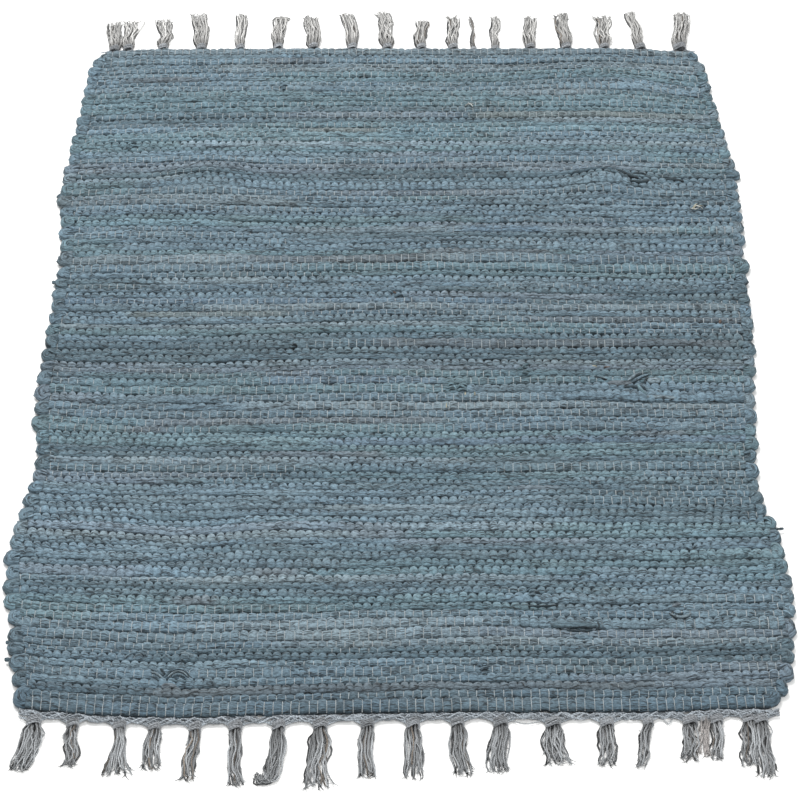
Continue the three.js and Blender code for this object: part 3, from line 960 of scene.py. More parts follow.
def turn_part(row, side):
    """The rag's turn at the side of the mat, from the end of one row into the next."""
    rng = seeded(SIDES[side]["name"] + "_turns", row)
    edge, margin = SIDES[side]["edge"][row:row + 2].mean(), SIDES[side]["margin"]
    inner = edge - side * (margin - 1.0)
    half_row = (MIDDLES[row + 1] - MIDDLES[row]) / 2
    loose = 0.9 * rng.uniform(-1, 1)
    for turn in LOOSE_TURNS:
        if turn["side"] == side and MIDDLES[row] <= turn["along"] < MIDDLES[row + 1]:
            loose = turn["out"] / 1.5
    fat = half_row * (0.97 + 0.08 * loose) * (1 + 0.16 * soft_wave(rng, np.arange(float(TURN_POINTS)), 2))
    reach = margin - 1.0 - fat.max() + 0.6 + 1.5 * loose
    turn = np.linspace(-np.pi / 2, np.pi / 2, TURN_POINTS)
    skew = 0.35 * rng.uniform(-1, 1)
    across = inner + side * reach * np.maximum(np.cos(turn), 0) ** 0.45
    along = MIDDLES[row:row + 2].mean() + half_row * np.sign(turn) * np.abs(np.sin(turn)) ** 0.8
    along = along + half_row * skew * np.maximum(np.cos(turn), 0)
    shade = row_dyes(row, np.array([edge]))[0] * (1 + 0.08 * rng.uniform(-1, 1))
    return folded_loop(across, along, fat, rng, shade)


def turn_creases(row, side):
    """The rag's edges, which fan out as slanting ridges over its turn."""
    rng = seeded(SIDES[side]["name"] + "_creases", row)
    edge, margin = SIDES[side]["edge"][row:row + 2].mean(), SIDES[side]["margin"]
    shade = row_dyes(row, np.array([edge]))[0]
    t = np.linspace(0, 1, RIDGE_POINTS)
    lean = rng.choice([-1, 1])
    parts = []
    for _ in range(rng.integers(1, 4)):
        start = MIDDLES[row] + (MIDDLES[row + 1] - MIDDLES[row]) * rng.uniform(0.0, 1.0)
        reach = (margin - 3.5) * rng.uniform(0.75, 1.0)
        across = edge - side * (margin - 0.5) + side * reach * t
        along = start + lean * rng.uniform(0.2, 0.7) * ROW_USUAL * t
        along = along + 0.8 * np.sin(np.pi * t) * rng.uniform(-1, 1)
        z = RAG_HEIGHT - 0.4 + 0.5 * np.sin(np.pi * t) - 1.2 * t ** 3 + pucker_height(across, along)
        points = np.stack([across, floor_y(across, along), z], 1)
        fat = rng.uniform(0.9, 1.5) * (1 - 0.5 * t)
        own = np.tile(shade * (1 + 0.12 * rng.uniform(-1, 1)), (RIDGE_POINTS, 6, 1))
        # Painted shade on the ridge's flanks and a painted highlight on its top
        parts.append((yarn_tube(points, fat, sides=6), own * np.array(PAINTED_TAIL_SHADE)[None, :, None]))
    return parts


def tucked_end(row, side):
    """The free end of the first or the last rag, tucked round the corner into its neighbour."""
    rng = seeded("tucks", row)
    edge, margin = SIDES[side]["edge"][row], SIDES[side]["margin"]
    inward = 1 if row == 0 else -1
    t = np.linspace(0, 1, 8)
    half = WIDTHS[row] * 0.44
    across = edge - side * (margin + 1.5) + side * (margin + 1.5 - half * 0.7) * np.sin(t * np.pi / 2)
    along = MIDDLES[row] + inward * half * 1.5 * (1 - np.cos(t * np.pi / 2))
    fat = half * (1 - 0.35 * t ** 2)
    return folded_loop(across, along, fat, rng, row_dyes(row, np.array([edge]))[0])


def weft_bands(material, bands=3):
    """All the rows and their turns, in bands from the near end to the far end."""
    made = []
    for band in range(bands):
        first, last = ROWS * band // bands, ROWS * (band + 1) // bands
        parts = [rag_tube(row) for row in range(first, last)]
        for row in range(first, min(last, ROWS - 1)):
            side = -1 if row % 2 == 0 else 1
            parts.append(turn_part(row, side))
            parts += turn_creases(row, side)
        if band == 0:
            parts.append(tucked_end(0, 1))
        if band == bands - 1:
            parts.append(tucked_end(ROWS - 1, -1))
        made.append(tubes_mesh(f"rag_weft_{band + 1}", parts, material))
    return made


# The warp: thin yarn over one row and under the next

def warp_line(end):
    """The middle of one warp yarn, from the near end to the far end, and how light to paint it: lighter where
    it lies on top, painted shade where it is buried or runs under a rag.
    """
    points, lit_share = [], []
    for row in range(ROWS):
        x = WARP_X[row, end]
        low, high = (float(v[0]) for v in row_edges(row, np.array([x])))
        middle, width = (low + high) / 2, high - low
        lift = float(pucker_height(x, middle))
        if row % 2 == end % 2:
            shows = SHOWS[row, end]
            crown = HEIGHTS[row, end] - PINCH_CLOSED - (PINCH_SHOWN - PINCH_CLOSED) * shows + lift
            z = crown + 1.2 * shows - 0.95
            near_share = 0.5 if row == 0 else 0.38
            buried = shows < 0.1
            for share, drop in [(0.0, 0.0)] if buried else [(-near_share, 0.95), (0.0, 0.0), (0.38, 0.95)]:
                points.append((x, middle + share * width, z - drop))
                lit_share.append(shows)
        else:
            z = max(RAG_LIFT + PINCH_BELOW - 0.45 + lift, YARN * 0.9)
            for share in (-0.22, 0.22):
                points.append((x, middle + share * width, z))
                lit_share.append(0.3)
    points = np.array(points)
    points[:, 1] = floor_y(points[:, 0], points[:, 1])
    return points, np.array(lit_share)


def warp_pieces(material, pieces=2):
    rng = seeded("yarns")
    made = []
    for part in range(pieces):
        parts = []
        for end in range(WARP_ENDS * part // pieces, WARP_ENDS * (part + 1) // pieces):
            points, lit_share = warp_line(end)
            points[:, 0] += 0.3 * soft_wave(rng, points[:, 1], 6)
            width = YARN * (1 + 0.2 * soft_wave(rng, points[:, 1], 7))
            # Painted shade where the yarn is buried or runs under a rag, times an uneven tone along it
            shade = 0.72 + 0.28 * lit_share + 0.2 * soft_wave(rng, points[:, 1], 10)
            tube = yarn_tube(points, width, sides=3, turn=math.radians(90))
            parts.append((tube, colour("#A9B1B4") * shade[:, None]))
        made.append(tubes_mesh(f"warp_yarn_{part + 1}", parts, material))
    return made


SHOWS = np.array([warp_shows(row, WARP_X[row]) for row in range(ROWS)])
HEIGHTS = np.array([rag_height(row, WARP_X[row]) for row in range(ROWS)])


# Rag joins

FOLD_TALLEST = 1.7        # a broad fold lies flat: half its height is no more than this


def join_parts(join, n):
    """A crumpled join: loose tails of rag that leave the row, curl over the top and tuck in again."""
    rng = seeded("joins", n)
    base = row_dyes(int(np.searchsorted(STARTS, join["along"])) - 1, np.array([float(join["across"])]))[0]
    base = base * join["deep"]
    size, tails = join["size"], 2 * join["tails"] + 1
    parts = []
    top = RAG_HEIGHT + float(pucker_height(join["across"], join["along"]))
    t = np.linspace(0, 1, 12)
    for tail in range(tails):
        reach = size * rng.uniform(0.5, 1.15)
        turned = rng.uniform(-0.35, 0.35) + (np.pi if rng.random() < 0.5 else 0)
        way = turned + rng.uniform(-2.2, 2.2) * t
        row_share = (tail / (tails - 1) - 0.5) * 1.5
        x = join["across"] + rng.uniform(-0.55, 0.25) * size * np.cos(turned)
        x = x + np.cumsum(np.cos(way)) * reach / len(t)
        y = join["along"] + row_share * ROW_USUAL * 0.8 + np.cumsum(np.sin(way)) * reach * 0.5 / len(t)
        z = top - 1.7 + rng.uniform(1.4, 2.7) * np.sin(np.pi * np.clip(t * 1.1, 0, 1))
        points = np.stack([x, floor_y(x, y), z], 1)
        fat = rng.uniform(0.9, 1.8) * (1 - 0.5 * t ** 2) * (1 + 0.25 * soft_wave(rng, t * 20, 3))
        shade = (1 + 0.12 * rng.uniform(-1, 1)) * (1 + 0.12 * soft_wave(rng, t * 20, 5))
        tube = yarn_tube(points, fat, sides=6)
        # Painted shade on the tails' flanks where they meet the row, and a painted highlight on top
        dyes = base[None, None, :] * shade[:, None, None] * np.array(PAINTED_TAIL_SHADE)[None, :, None]
        parts.append((tube, dyes))
    return parts


def fold_part(fold, n):
    """One fold of loose rag, or a thread, that rises from the rows and dives in again."""
    rng = seeded("folds", n)
    t = np.linspace(0, 1, 9)
    start, way = np.array(fold["start"], float), np.subtract(fold["stop"], fold["start"])
    aside = np.array([-way[1], way[0]]) / np.hypot(*way)
    x, y = (start + way * t[:, None] + aside * fold["bow"] * (4 * t * (1 - t))[:, None]).T
    ends = np.abs(2 * t - 1)
    fat = fold["fat"] * np.sqrt(1 - 0.85 * ends ** 5) * (1 + 0.1 * rng.uniform(-1, 1, 9))
    tall = np.minimum(fat, FOLD_TALLEST)
    row = int(np.clip(np.searchsorted(STARTS, y[4]) - 1, 0, ROWS - 1))
    crown = RAG_HEIGHT + FULLER * (WIDTHS[row] - ROW_USUAL)
    z = crown - tall + fold["up"] - 0.9 * ends ** 4 + pucker_height(x, y)
    points = np.stack([x, floor_y(x, y), z], 1)
    shade = (1 + 0.08 * rng.uniform(-1, 1)) * (1 + 0.1 * soft_wave(rng, t * 20, 4))
    # Painted shade on the fold's flanks and a painted highlight on its crown
    dyes = colour(DYES[fold["dye"]]) * shade[:, None, None] * np.array(PAINTED_FOLD_SHADE)[None, :, None]
    return yarn_tube(points, fat, sides=8, tallest=FOLD_TALLEST), dyes


def tag_parts(tag, n):
    """A stub of rag that sticks out at the side of the mat."""
    rng = seeded("tags", n)
    t = np.linspace(0, 1, 6)
    x = tag["across"] + tag["out"] * t
    y = tag["along"] + tag["up"] * t ** 2
    z = 3.4 + 0.6 * np.sin(np.pi * t)
    points = np.stack([x, floor_y(x, y), z], 1)
    fat = tag["fat"] * (1 - 0.3 * t) * (1 + 0.25 * rng.uniform(-1, 1, 6))
    return [(yarn_tube(points, fat, sides=6), np.tile(colour(DYES["deep"]) * 0.8, (6, 1)))]


def join_piece(material):
    parts = []
    for n, join in enumerate(JOINS):
        parts += join_parts(join, n)
    parts += [fold_part(fold, n) for n, fold in enumerate(FOLDS)]
    for n, tag in enumerate(SIDE_TAGS):
        parts += tag_parts(tag, n)
    return tubes_mesh("rag_joins", parts, material)


# The fringes

GREY = "#B1B5B8"          # the undyed yarn
PALE_GREY = "#E2E1DE"     # the same yarn at the far end, combed out and less handled
WORKED = "#A2AAB1"        # the same yarn along the edge, a little blue from the rags' dye
KNOTTED = "#8C9094"       # yarn pulled tight in a knot, where less of its pale down shows
LINT = "#CFC9C6"          # combed-out fibre between two tassels
TAN = "#8B8074"           # the odd yarn that has a brown cast
# Painted shade: the near-black given to yarn deep inside a bunch and to a knot's core
PAINTED_YARN_SHADE = "#1F2224"        # yarn deep inside a bunch
DOWN = "#A9ABAB"          # single fibres that stand off the yarn

YARN_POINTS = 12
CURL_POINTS = 8           # more of them in a tassel whose tip curls
CURL_START = 0.8          # the share of its length at which the tip starts to curl
CURL_TURN = 3.6           # how far round it goes, in radians
YARN_SWAY = 1.7           # how far a yarn wanders aside in its bunch
YARN_PLIES = 2            # the yarns of a tassel untwist into this many thinner ones
PLIES_SEEN = 0.8          # the share of those that is made
TIP_UNEVENNESS = 4.2
BUNCH_HEIGHT = 5.2
YARN_STEP = 0.618034      # of the bunch's width from each yarn to the next, so they spread evenly
ODD_YARNS = 0.05          # the share with a brown cast
KNOT_WRAPS = 5
NECK_YARNS = 9
FIBRES = 76               # on each tassel
PLY_TAPER = [0.44, 0.36, 0.24, 0.05]    # radii of a parted ply, and of a fibre
FIBRE_TAPER = [0.2, 0.16, 0.05]

# The two ends: which way is out, where the cloth ends, the worked yarn's depth, strands and reach to the
# sides, how far out a knot sits, its size and how dark the painted shade of its core is, and the tassels and
# their yarn
ENDS = dict(
    near=dict(
        out=-1, along=0.0, depth=6.0, strands=11, left=LEFT_SIDE[0] + 3, right=RIGHT_SIDE[0] - 3,
        knot_out=0.5, knot_size=1.0, core=1.0, tassels=NEAR_TASSELS, yarn=GREY,
    ),
    far=dict(
        out=1, along=CLOTH_LENGTH, depth=3.2, strands=5, left=-281.0, right=282.0,
        knot_out=0.3, knot_size=0.85, core=2.5, tassels=FAR_TASSELS, yarn=PALE_GREY,
    ),
)


def edge_y(across, end):
    return floor_y(across, ENDS[end]["along"])


def laid_yarn(x, y, z, radius, base, rng, sides=4):
    """A yarn through these places, kept on the floor, with its colour uneven along it."""
    points = np.stack([x, y, np.maximum(z, np.max(radius) * 0.95)], 1)
    reach = np.concatenate([[0], np.cumsum(np.linalg.norm(np.diff(points, axis=0), axis=1))])
    shade = 1 + 0.14 * soft_wave(rng, reach, 9)
    return yarn_tube(points, radius, sides), base * shade[:, None]


def header_parts(end, rng):
    """The yarn worked along one end: strands that run along the edge and cross each other."""
    at = ENDS[end]
    out, depth, strands = at["out"], at["depth"], at["strands"]
    across = np.linspace(at["left"], at["right"], 210)
    edge = edge_y(across, end)
    parts = []
    for strand in range(strands):
        winding = rng.choice([-1, 1]) * across / (4.2 + 1.2 * rng.uniform(-1, 1))
        turn = winding + strand * 2 * np.pi / strands + 1.6 * soft_wave(rng, across, 14)
        half = depth / 2 - FRINGE_YARN * 0.6
        y = edge + out * (depth / 2 - 0.7 + half * np.sin(turn) + 0.8 * soft_wave(rng, across, 7))
        z = 3.0 + 1.2 * np.cos(turn) + 0.6 * soft_wave(rng, across, 8)
        base = colour(WORKED) * (0.9 + 0.3 * rng.uniform(-1, 1))
        parts.append(laid_yarn(across, y, z, FRINGE_YARN * 1.05, base, rng))
    return parts


def knot_parts(tassel, centre_y, at, rng):
    """The knot: a few yarns wound round the neck of the bunch and pulled tight, over a dark core of painted
    shade.
    """
    out, size = at["out"], tassel["knot"] * at["knot_size"]
    t = np.linspace(0, 1, 18)
    parts = []
    for wrap in range(KNOT_WRAPS):
        angle = rng.uniform(0, 2 * np.pi) + rng.uniform(1.1, 1.4) * 2 * np.pi * t
        slope = rng.uniform(-0.2, 0.2) * size
        x = tassel["across"] + size * 0.38 * np.cos(angle)
        place = slope * (t - 0.5) + (wrap / (KNOT_WRAPS - 1) - 0.5) * size * 0.5
        y = centre_y + out * place + size * 0.1 * np.sin(2 * angle) + 0.5 * soft_wave(rng, t * 30, 4)
        z = size * 0.27 + 0.8 + size * 0.24 * np.sin(angle)
        base = colour(KNOTTED) * (1 + 0.3 * rng.uniform(-1, 1))
        parts.append(laid_yarn(x, y, z, FRINGE_YARN * rng.uniform(0.9, 1.4), base, rng))
    core = np.stack([
        np.full(7, float(tassel["across"])),
        centre_y + out * np.linspace(-0.5, 0.45, 7) * size * 0.8,
        np.full(7, size * 0.27),
    ], 1)
    fat = np.minimum(size * 0.27 * np.array([0.6, 0.9, 1, 1, 0.95, 0.8, 0.5]), core[:, 2] - 0.1)
    # The core is painted shade, seen between the wraps; at the far end it is less dark
    parts.append((yarn_tube(core, fat, sides=8), np.tile(colour(PAINTED_YARN_SHADE) * at["core"], (7, 1))))
    return parts


def neck_parts(tassel, centre_y, edge, out, rng):
    """The warp ends that gather from the edge into the knot, so the edge sags towards it."""
    parts = []
    t = np.linspace(0, 1, 6)
    for i in range(NECK_YARNS):
        aside = (2 * i / (NECK_YARNS - 1) - 1) + 0.1 * rng.uniform(-1, 1)
        x = tassel["across"] + aside * tassel["knot"] * (0.7 * (1 - t) ** 1.8 + 0.26)
        y = edge + (centre_y - edge) * (0.36 + 0.64 * t) + out * PIECE_GAP
        z = 2.4 + 1.6 * t - 1.2 * abs(aside) * t + 0.5 * rng.uniform(-1, 1)
        base = colour(WORKED) * (0.95 + 0.25 * rng.uniform(-1, 1))
        parts.append(laid_yarn(x, y, z, FRINGE_YARN, base, rng))
    return parts


def yarn_line(tassel, centre_y, edge, out, i, rng):
    """One yarn of a tassel, from inside its knot to its tip on the floor, and how deep it lies."""
    curl = tassel.get("curl", 0)
    t = np.linspace(0, 1, YARN_POINTS + (CURL_POINTS if curl else 0))
    aside = ((i * YARN_STEP) % 1) * 2 - 1 + 0.12 * rng.uniform(-1, 1)
    layer = i / (tassel["yarns"] * YARN_PLIES * PLIES_SEEN)
    tip = tassel["reach"] - abs(rng.normal(0, TIP_UNEVENNESS))
    rolled = np.clip((t - CURL_START) / (1 - CURL_START), 0, 1) if curl else np.zeros_like(t)
    y = centre_y + (edge + out * tip - centre_y) * np.where(rolled > 0, CURL_START, t)
    y = y + out * abs(curl) * np.sin(rolled * CURL_TURN)
    neck, fan = tassel["knot"] * 0.31, tassel["spread"] * 0.56 - YARN_SWAY / 2
    own = uneven(int(tassel["across"]), 3)
    belly = neck + (fan - neck) * (0.72 + 0.2 * own)
    if tassel.get("flare"):
        belly = neck * 0.9
    wide = neck + (belly - neck) * ease(np.clip(t * 4.5, 0, 1)) + (fan - belly) * t ** 2.2
    x = tassel["across"] + tassel["lean"] * t ** 1.4 + aside * wide * (1 - 0.4 * rolled)
    x = x + curl * (1 - np.cos(rolled * CURL_TURN))
    if tassel["stray"] and i >= tassel["yarns"] * YARN_PLIES * 0.75:
        x = tassel["across"] + tassel["lean"] * t + tassel["stray"] * t ** 1.6
    reach = t * tassel["reach"]
    loose = np.clip(t * 3.5, 0, 1)
    sway = YARN_SWAY * (1 + 0.5 * uneven(int(tassel["across"]), 5))
    x = x + loose * (sway * soft_wave(rng, reach, 12) + 0.6 * soft_wave(rng, reach, 6))
    x = x + 1.1 * loose * np.sin(reach / (9 + 3 * own) + tassel["across"])
    room = math.sqrt(max(0.1, 1 - 0.8 * aside ** 2))
    bunched = (0.8 + BUNCH_HEIGHT * layer * room) * (1 - 0.5 * ease(t))
    arched = 0.9 * np.sin(np.pi * np.clip(t * 2, 0, 1)) * layer
    z = bunched + arched + loose * 0.8 * soft_wave(rng, reach, 9)
    return x, y, z, layer


def split_tip(points, base, rng):
    """The two plies that part at a yarn's tip, and taper to nothing."""
    parts = []
    tip, way = points[-1], points[-1] - points[-2]
    way = way / np.linalg.norm(way)
    t = np.linspace(0, 1, len(PLY_TAPER))[:, None]
    for _ in range(2):
        spread = np.array([rng.uniform(-1.1, 1.1), rng.uniform(-0.4, 0.4), rng.uniform(-0.2, 0.3)])
        ply = tip - way * 0.6 + (way + spread * t) * t * rng.uniform(1.8, 5.2)
        ply[:, 2] = np.maximum(ply[:, 2], 0.3)
        tube = yarn_tube(ply, np.array(PLY_TAPER), sides=3)
        parts.append((tube, np.tile(base * 1.1, (len(PLY_TAPER), 1))))
    return parts


def fibre(points, rng):
    """A loose fibre that stands off a yarn's side."""
    start = points[rng.integers(2, len(points))]
    t = np.linspace(0, 1, len(FIBRE_TAPER))[:, None]
    aside = rng.choice([-1, 1]) * rng.uniform(0.5, 1)
    way = np.array([aside, rng.uniform(-0.8, 0.8), rng.uniform(-0.1, 0.5)])
    bend = rng.uniform(-0.8, 0.8, 3)
    line = start + (way + bend * t) * t * rng.uniform(1.4, 3.6)
    line[:, 2] = np.maximum(line[:, 2], 0.15)
    return yarn_tube(line, np.array(FIBRE_TAPER), sides=3), np.tile(colour(DOWN), (len(FIBRE_TAPER), 1))


def tassel_parts(tassel, end, n):
    """A tassel: its neck, its knot, its yarns, their parted tips and a few loose fibres."""
    rng = seeded(f"{end}_tassels", n)
    at = ENDS[end]
    out = at["out"]
    edge = float(edge_y(tassel["across"], end))
    centre_y = edge + out * (PIECE_GAP + at["depth"] * 0.75 + tassel["knot"] * at["knot_out"])
    parts = knot_parts(tassel, centre_y, at, rng) + neck_parts(tassel, centre_y, edge, out, rng)
    lines = []
    for i in range(int(tassel["yarns"] * YARN_PLIES * PLIES_SEEN)):
        x, y, z, layer = yarn_line(tassel, centre_y, edge, out, i, rng)
        base = colour(TAN if rng.random() < ODD_YARNS else at["yarn"])
        # Yarn that lies deeper in the bunch is painted darker, as shade, and made a little thicker
        deep = np.clip(1 - layer / 0.8, 0, 1) ** 0.8
        if tassel.get("pale"):
            base, deep = colour(LINT), 0
        base = (base * (1 - deep) + colour(PAINTED_YARN_SHADE) * deep) * (0.92 + 0.3 * rng.uniform(-1, 1))
        thick = (0.88 + 0.18 * rng.uniform(-1, 1)) * (1 + 0.35 * deep)
        radius = FRINGE_YARN * thick * (1 - 0.2 * np.linspace(0, 1, len(x)) ** 3)
        yarn, dyes = laid_yarn(x, y, z, radius, base, rng)
        # Painted shadow on the yarns just under the knot
        painted_knot_shadow = 0.45 + 0.55 * ease(np.clip(np.linspace(0, 1, len(x)) * 4.5 - 0.5, 0, 1))
        parts.append((yarn, dyes * painted_knot_shadow[:, None]))
        lines.append(yarn.mean(axis=1))
        parts += split_tip(lines[-1], base, rng)
    for _ in range(FIBRES):
        parts.append(fibre(lines[rng.integers(0, len(lines))], rng))
    return parts


def loose_parts(end, rng):
    """Yarns that stand off the edge between the tassels."""
    parts = []
    for arc in LOOSE_YARNS:
        if arc["end"] != end:
            continue
        t = np.linspace(0, 1, YARN_POINTS)
        x = arc["left"] + (arc["right"] - arc["left"]) * t
        sag = arc["out"] * np.sin(np.pi * t) ** 0.8 + 0.5 * soft_wave(rng, t * 30, 6)
        y = edge_y(x, end) + ENDS[end]["out"] * (PIECE_GAP + ENDS[end]["depth"] * 0.8 + sag)
        z = 1.6 + 0.5 * soft_wave(rng, t * 30, 8)
        base = colour(TAN if arc["tan"] else GREY)
        parts.append(laid_yarn(x, y, z, FRINGE_YARN * 0.85, base, rng))
    return parts


def fringe_pieces(end, material):
    rng = seeded(f"{end}_header")
    header = header_parts(end, rng) + loose_parts(end, rng)
    tassels = []
    for n, tassel in enumerate(ENDS[end]["tassels"]):
        tassels += tassel_parts(tassel, end, n)
    return [tubes_mesh(f"{end}_header", header, material), tubes_mesh(f"{end}_tassels", tassels, material)]


# Materials

PLY_PITCH = 7.0           # the length in which a yarn's three plies wind round once


def add(tree, kind, inputs=None, **settings):
    """Adds a node with its settings. An input is a value, or the socket that feeds it."""
    node = tree.nodes.new(kind)
    for name, value in settings.items():
        setattr(node, name, value)
    for name, value in (inputs or {}).items():
        if isinstance(value, bpy.types.NodeSocket):
            tree.links.new(value, node.inputs[name])
        else:
            node.inputs[name].default_value = value
    return node


def per_mm(size):
    """The scale at which a texture's features are so many millimetres across."""
    return 1 / (size * MM)


def new_material(name):
    made = bpy.data.materials.new(name)
    made.use_nodes = True
    made.node_tree.nodes.clear()
    return made, made.node_tree


def cotton_rag():
    """Dyed cotton jersey cut into strips and folded lengthways: matt and slightly furry, so it has no
    highlight, only a pale bloom where the eye grazes it. The folds show as soft creases that run
    along the strip, with painted shade in the creases and painted light and shade over the wrinkles,
    and the dye has taken unevenly."""
    made, tree = new_material("cotton_rag_strip")
    place = add(tree, "ShaderNodeTexCoord")
    dye = add(tree, "ShaderNodeAttribute", attribute_name="dye")
    strip = add(tree, "ShaderNodeAttribute", attribute_name="strip")
    lengthways = add(tree, "ShaderNodeMapping", {"Vector": strip.outputs["Vector"], "Scale": (0.11, 1, 1)})
    folds = add(tree, "ShaderNodeTexNoise", {
        "Vector": lengthways.outputs[0], "Scale": per_mm(2.7), "Detail": 2.0, "Roughness": 0.5,
    })
    puckered = add(tree, "ShaderNodeMapping", {"Vector": strip.outputs["Vector"], "Scale": (0.38, 1, 1)})
    wrinkles = add(tree, "ShaderNodeTexNoise", {
        "Vector": puckered.outputs[0], "Scale": per_mm(1.1), "Detail": 2.5, "Roughness": 0.65,
    })
    mottle = add(tree, "ShaderNodeTexNoise", {
        "Vector": place.outputs["Object"], "Scale": per_mm(8), "Detail": 3.0, "Roughness": 0.65,
    })
    from_middle = add(tree, "ShaderNodeMath", {0: folds.outputs["Fac"], 1: 0.5}, operation="SUBTRACT")
    across_crease = add(tree, "ShaderNodeMath", {0: from_middle.outputs[0]}, operation="ABSOLUTE")
    in_folds = add(tree, "ShaderNodeMapRange", {
        "Value": across_crease.outputs[0], "From Min": 0.0, "From Max": 0.032, "To Min": 0.2, "To Max": 1.07,
    })
    in_wrinkles = add(tree, "ShaderNodeMapRange", {
        "Value": wrinkles.outputs["Fac"], "From Min": 0.36, "From Max": 0.64, "To Min": 0.62, "To Max": 1.34,
    })
    patches = add(tree, "ShaderNodeMapRange", {
        "Value": mottle.outputs["Fac"], "From Min": 0.3, "From Max": 0.7, "To Min": 0.92, "To Max": 1.08,
    })
    # Painted shade in the creases, painted light and shade over the wrinkles, times the dye's real mottle
    painted_crease_shade = add(tree, "ShaderNodeMath", {0: in_folds.outputs[0], 1: in_wrinkles.outputs[0]},
                  operation="MULTIPLY")
    crease_shade_and_mottle = add(tree, "ShaderNodeMath", {0: painted_crease_shade.outputs[0], 1: patches.outputs[0]},
                     operation="MULTIPLY")
    shade = add(tree, "ShaderNodeVectorMath", {0: dye.outputs["Vector"], "Scale": crease_shade_and_mottle.outputs[0]},
                operation="SCALE")
    crease = add(tree, "ShaderNodeBump", {
        "Height": in_folds.outputs[0], "Strength": 0.9, "Distance": 0.9 * MM,
    })
    crumple = add(tree, "ShaderNodeBump", {
        "Height": wrinkles.outputs["Fac"], "Strength": 1.0, "Distance": 1.3 * MM,
        "Normal": crease.outputs["Normal"],
    })
    surface = add(tree, "ShaderNodeBsdfPrincipled", {
        "Base Color": shade.outputs[0], "Roughness": 0.92, "IOR": 1.5, "Specular IOR Level": 0.25,
        "Sheen Weight": 0.12, "Sheen Roughness": 0.45, "Normal": crumple.outputs["Normal"],
    })
    add(tree, "ShaderNodeOutputMaterial", {"Surface": surface.outputs[0]})
    return made


def cotton_yarn(name, bloom):
    """Undyed grey cotton, spun and plied: matt, with a loose halo of fibre that pales its edges. The
    three plies show as a slanting groove that winds round the yarn, with painted shade where they meet."""
    made, tree = new_material(name)
    dye = add(tree, "ShaderNodeAttribute", attribute_name="dye")
    strip = add(tree, "ShaderNodeAttribute", attribute_name="strip")
    along = add(tree, "ShaderNodeSeparateXYZ", {"Vector": strip.outputs["Vector"]})
    twist = add(tree, "ShaderNodeMath", {0: along.outputs["X"], 1: 2 * math.pi / (PLY_PITCH * MM)},
                operation="MULTIPLY")
    round_yarn = add(tree, "ShaderNodeMath", {0: along.outputs["Z"], 1: along.outputs["Y"]},
                     operation="ARCTAN2")
    wound = add(tree, "ShaderNodeMath", {0: round_yarn.outputs[0], 1: twist.outputs[0]}, operation="ADD")
    each_ply = add(tree, "ShaderNodeMath", {0: wound.outputs[0], 1: 3.0}, operation="MULTIPLY")
    ply = add(tree, "ShaderNodeMath", {0: each_ply.outputs[0]}, operation="COSINE")
    fluff = add(tree, "ShaderNodeTexNoise", {
        "Vector": strip.outputs["Vector"], "Scale": per_mm(1.1), "Detail": 2.0, "Roughness": 0.65,
    })
    # Painted shade in the grooves where the plies meet; the same pattern, with the speckle, bumps the surface
    painted_groove_shade = add(tree, "ShaderNodeMapRange", {
        "Value": ply.outputs[0], "From Min": -1.0, "From Max": 0.3, "To Min": 0.55, "To Max": 1.06,
    })
    dirt = add(tree, "ShaderNodeMapRange", {
        "Value": fluff.outputs["Fac"], "From Min": 0.32, "From Max": 0.62, "To Min": 0.7, "To Max": 1.12,
    })
    groove_shade_and_speckle = add(tree, "ShaderNodeMath", {0: painted_groove_shade.outputs[0], 1: dirt.outputs[0]}, operation="MULTIPLY")
    shade = add(tree, "ShaderNodeVectorMath", {0: dye.outputs["Vector"], "Scale": groove_shade_and_speckle.outputs[0]},
                operation="SCALE")
    plies = add(tree, "ShaderNodeBump", {
        "Height": groove_shade_and_speckle.outputs[0], "Strength": 0.8, "Distance": 0.4 * MM,
    })
    surface = add(tree, "ShaderNodeBsdfPrincipled", {
        "Base Color": shade.outputs[0], "Roughness": 0.95, "IOR": 1.5, "Specular IOR Level": 0.2,
        "Sheen Weight": bloom, "Sheen Roughness": 0.5, "Normal": plies.outputs["Normal"],
    })
    add(tree, "ShaderNodeOutputMaterial", {"Surface": surface.outputs[0]})
    return made


def painted_board():
    """A matt white-painted studio board: even and without shine, so the mat alone has texture."""
    made, tree = new_material("matt_white_board")
    surface = add(tree, "ShaderNodeBsdfPrincipled", {
        "Base Color": (*colour("#F4F4F3"), 1), "Roughness": 0.9, "Specular IOR Level": 0.1,
    })
    add(tree, "ShaderNodeOutputMaterial", {"Surface": surface.outputs[0]})
    return made


# The studio

CAMERA_BACK, CAMERA_HIGH = 1638.0, 1653.0     # from the near edge of the cloth, and from the floor
# Degrees below the horizon. The floor alone fits 39.5: the 0.07 less lowers the view of the cloth by
# about 4 pixels, in place of correcting the distances along in the tables. The tassels' reach is 3 mm
# less at the near end and 3 mm more at the far end to suit.
CAMERA_DOWN = 39.43
FOCAL_PIXELS, FRAME_PIXELS = 3100.0, 800.0
MIDDLE_PIXEL = 398.5                          # the photograph's column over the mat's middle line


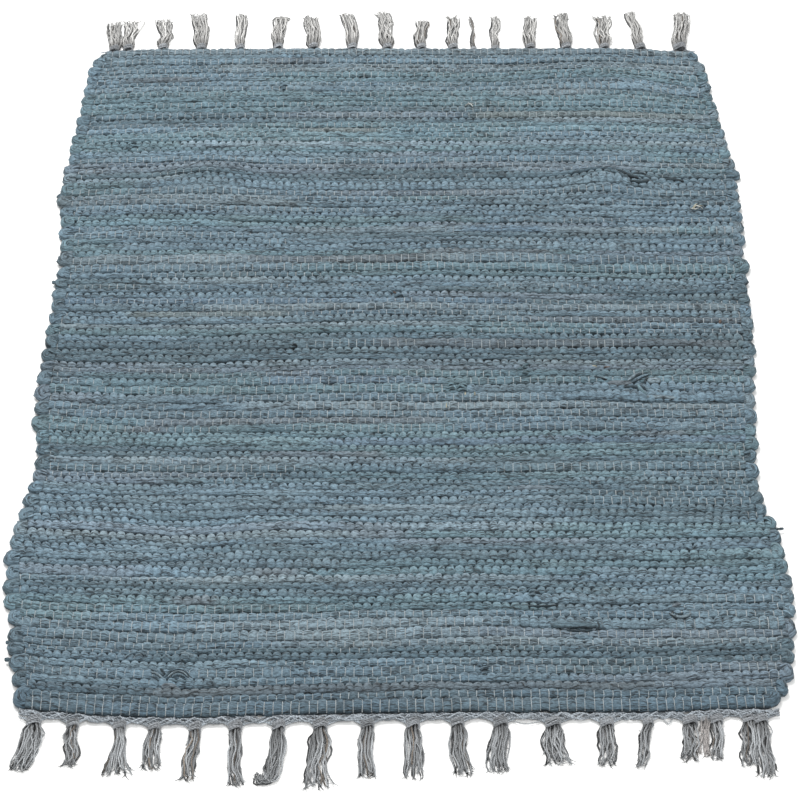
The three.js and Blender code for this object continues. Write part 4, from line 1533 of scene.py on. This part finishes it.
def camera():
    lens = bpy.data.cameras.new("camera")
    lens.sensor_width = 36.0
    lens.lens = lens.sensor_width * FOCAL_PIXELS / FRAME_PIXELS
    lens.clip_end = 50
    made = bpy.data.objects.new("camera", lens)
    to_middle = math.hypot(CAMERA_BACK + CLOTH_LENGTH / 2, CAMERA_HIGH)
    aside = (FRAME_PIXELS / 2 - MIDDLE_PIXEL) / FOCAL_PIXELS * to_middle
    made.location = (aside * MM, (NEAR_EDGE_Y - CAMERA_BACK) * MM, CAMERA_HIGH * MM)
    made.rotation_euler = (math.radians(90 - CAMERA_DOWN), 0, 0)
    bpy.context.scene.collection.objects.link(made)
    bpy.context.scene.camera = made


def softbox(name, power, size, place, aim):
    lamp = bpy.data.lights.new(name, "AREA")
    lamp.shape, lamp.size, lamp.energy = "SQUARE", size, power
    made = bpy.data.objects.new(name, lamp)
    made.location = place
    made.rotation_euler = (Vector(aim) - Vector(place)).to_track_quat("-Z", "Y").to_euler()
    bpy.context.scene.collection.objects.link(made)


def studio():
    scene = bpy.context.scene
    scene.view_settings.view_transform = "Standard"
    me = bpy.data.meshes.new("floor")
    reach = 6.0
    me.from_pydata([(-reach, -reach, 0), (reach, -reach, 0), (reach, reach, 0), (-reach, reach, 0)], [],
                   [(0, 1, 2, 3)])
    me.materials.append(painted_board())
    floor = bpy.data.objects.new("floor", me)
    scene.collection.objects.link(floor)
    softbox("overhead", power=66, size=1.5, place=(-0.5, 0.9, 2.2), aim=(0, 0, 0))
    softbox("front_fill", power=46, size=1.8, place=(0.4, -1.9, 2.2), aim=(0, 0, 0))
    sky = bpy.data.worlds.new("sky")
    sky.use_nodes = True
    sky.node_tree.nodes["Background"].inputs["Color"].default_value = (1, 1, 1, 1)
    sky.node_tree.nodes["Background"].inputs["Strength"].default_value = 0.4
    scene.world = sky


# Putting it together

def dress():
    rag = cotton_rag()
    yarn = cotton_yarn("spun_cotton_warp", 0.15)
    fringe = cotton_yarn("spun_cotton_fringe", 0.3)
    bands = weft_bands(rag)
    warps = warp_pieces(yarn)
    joins = join_piece(rag)
    for piece in bands + [joins]:
        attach(piece, BODY)
        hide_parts("rag_cloth")
    for piece in warps:
        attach(piece, BODY)
        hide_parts("rag_cloth")
    for end in ("near", "far"):
        for piece in fringe_pieces(end, fringe):
            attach(piece, BODY)
            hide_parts(f"{end}_fringe")


camera()
studio()
dress()
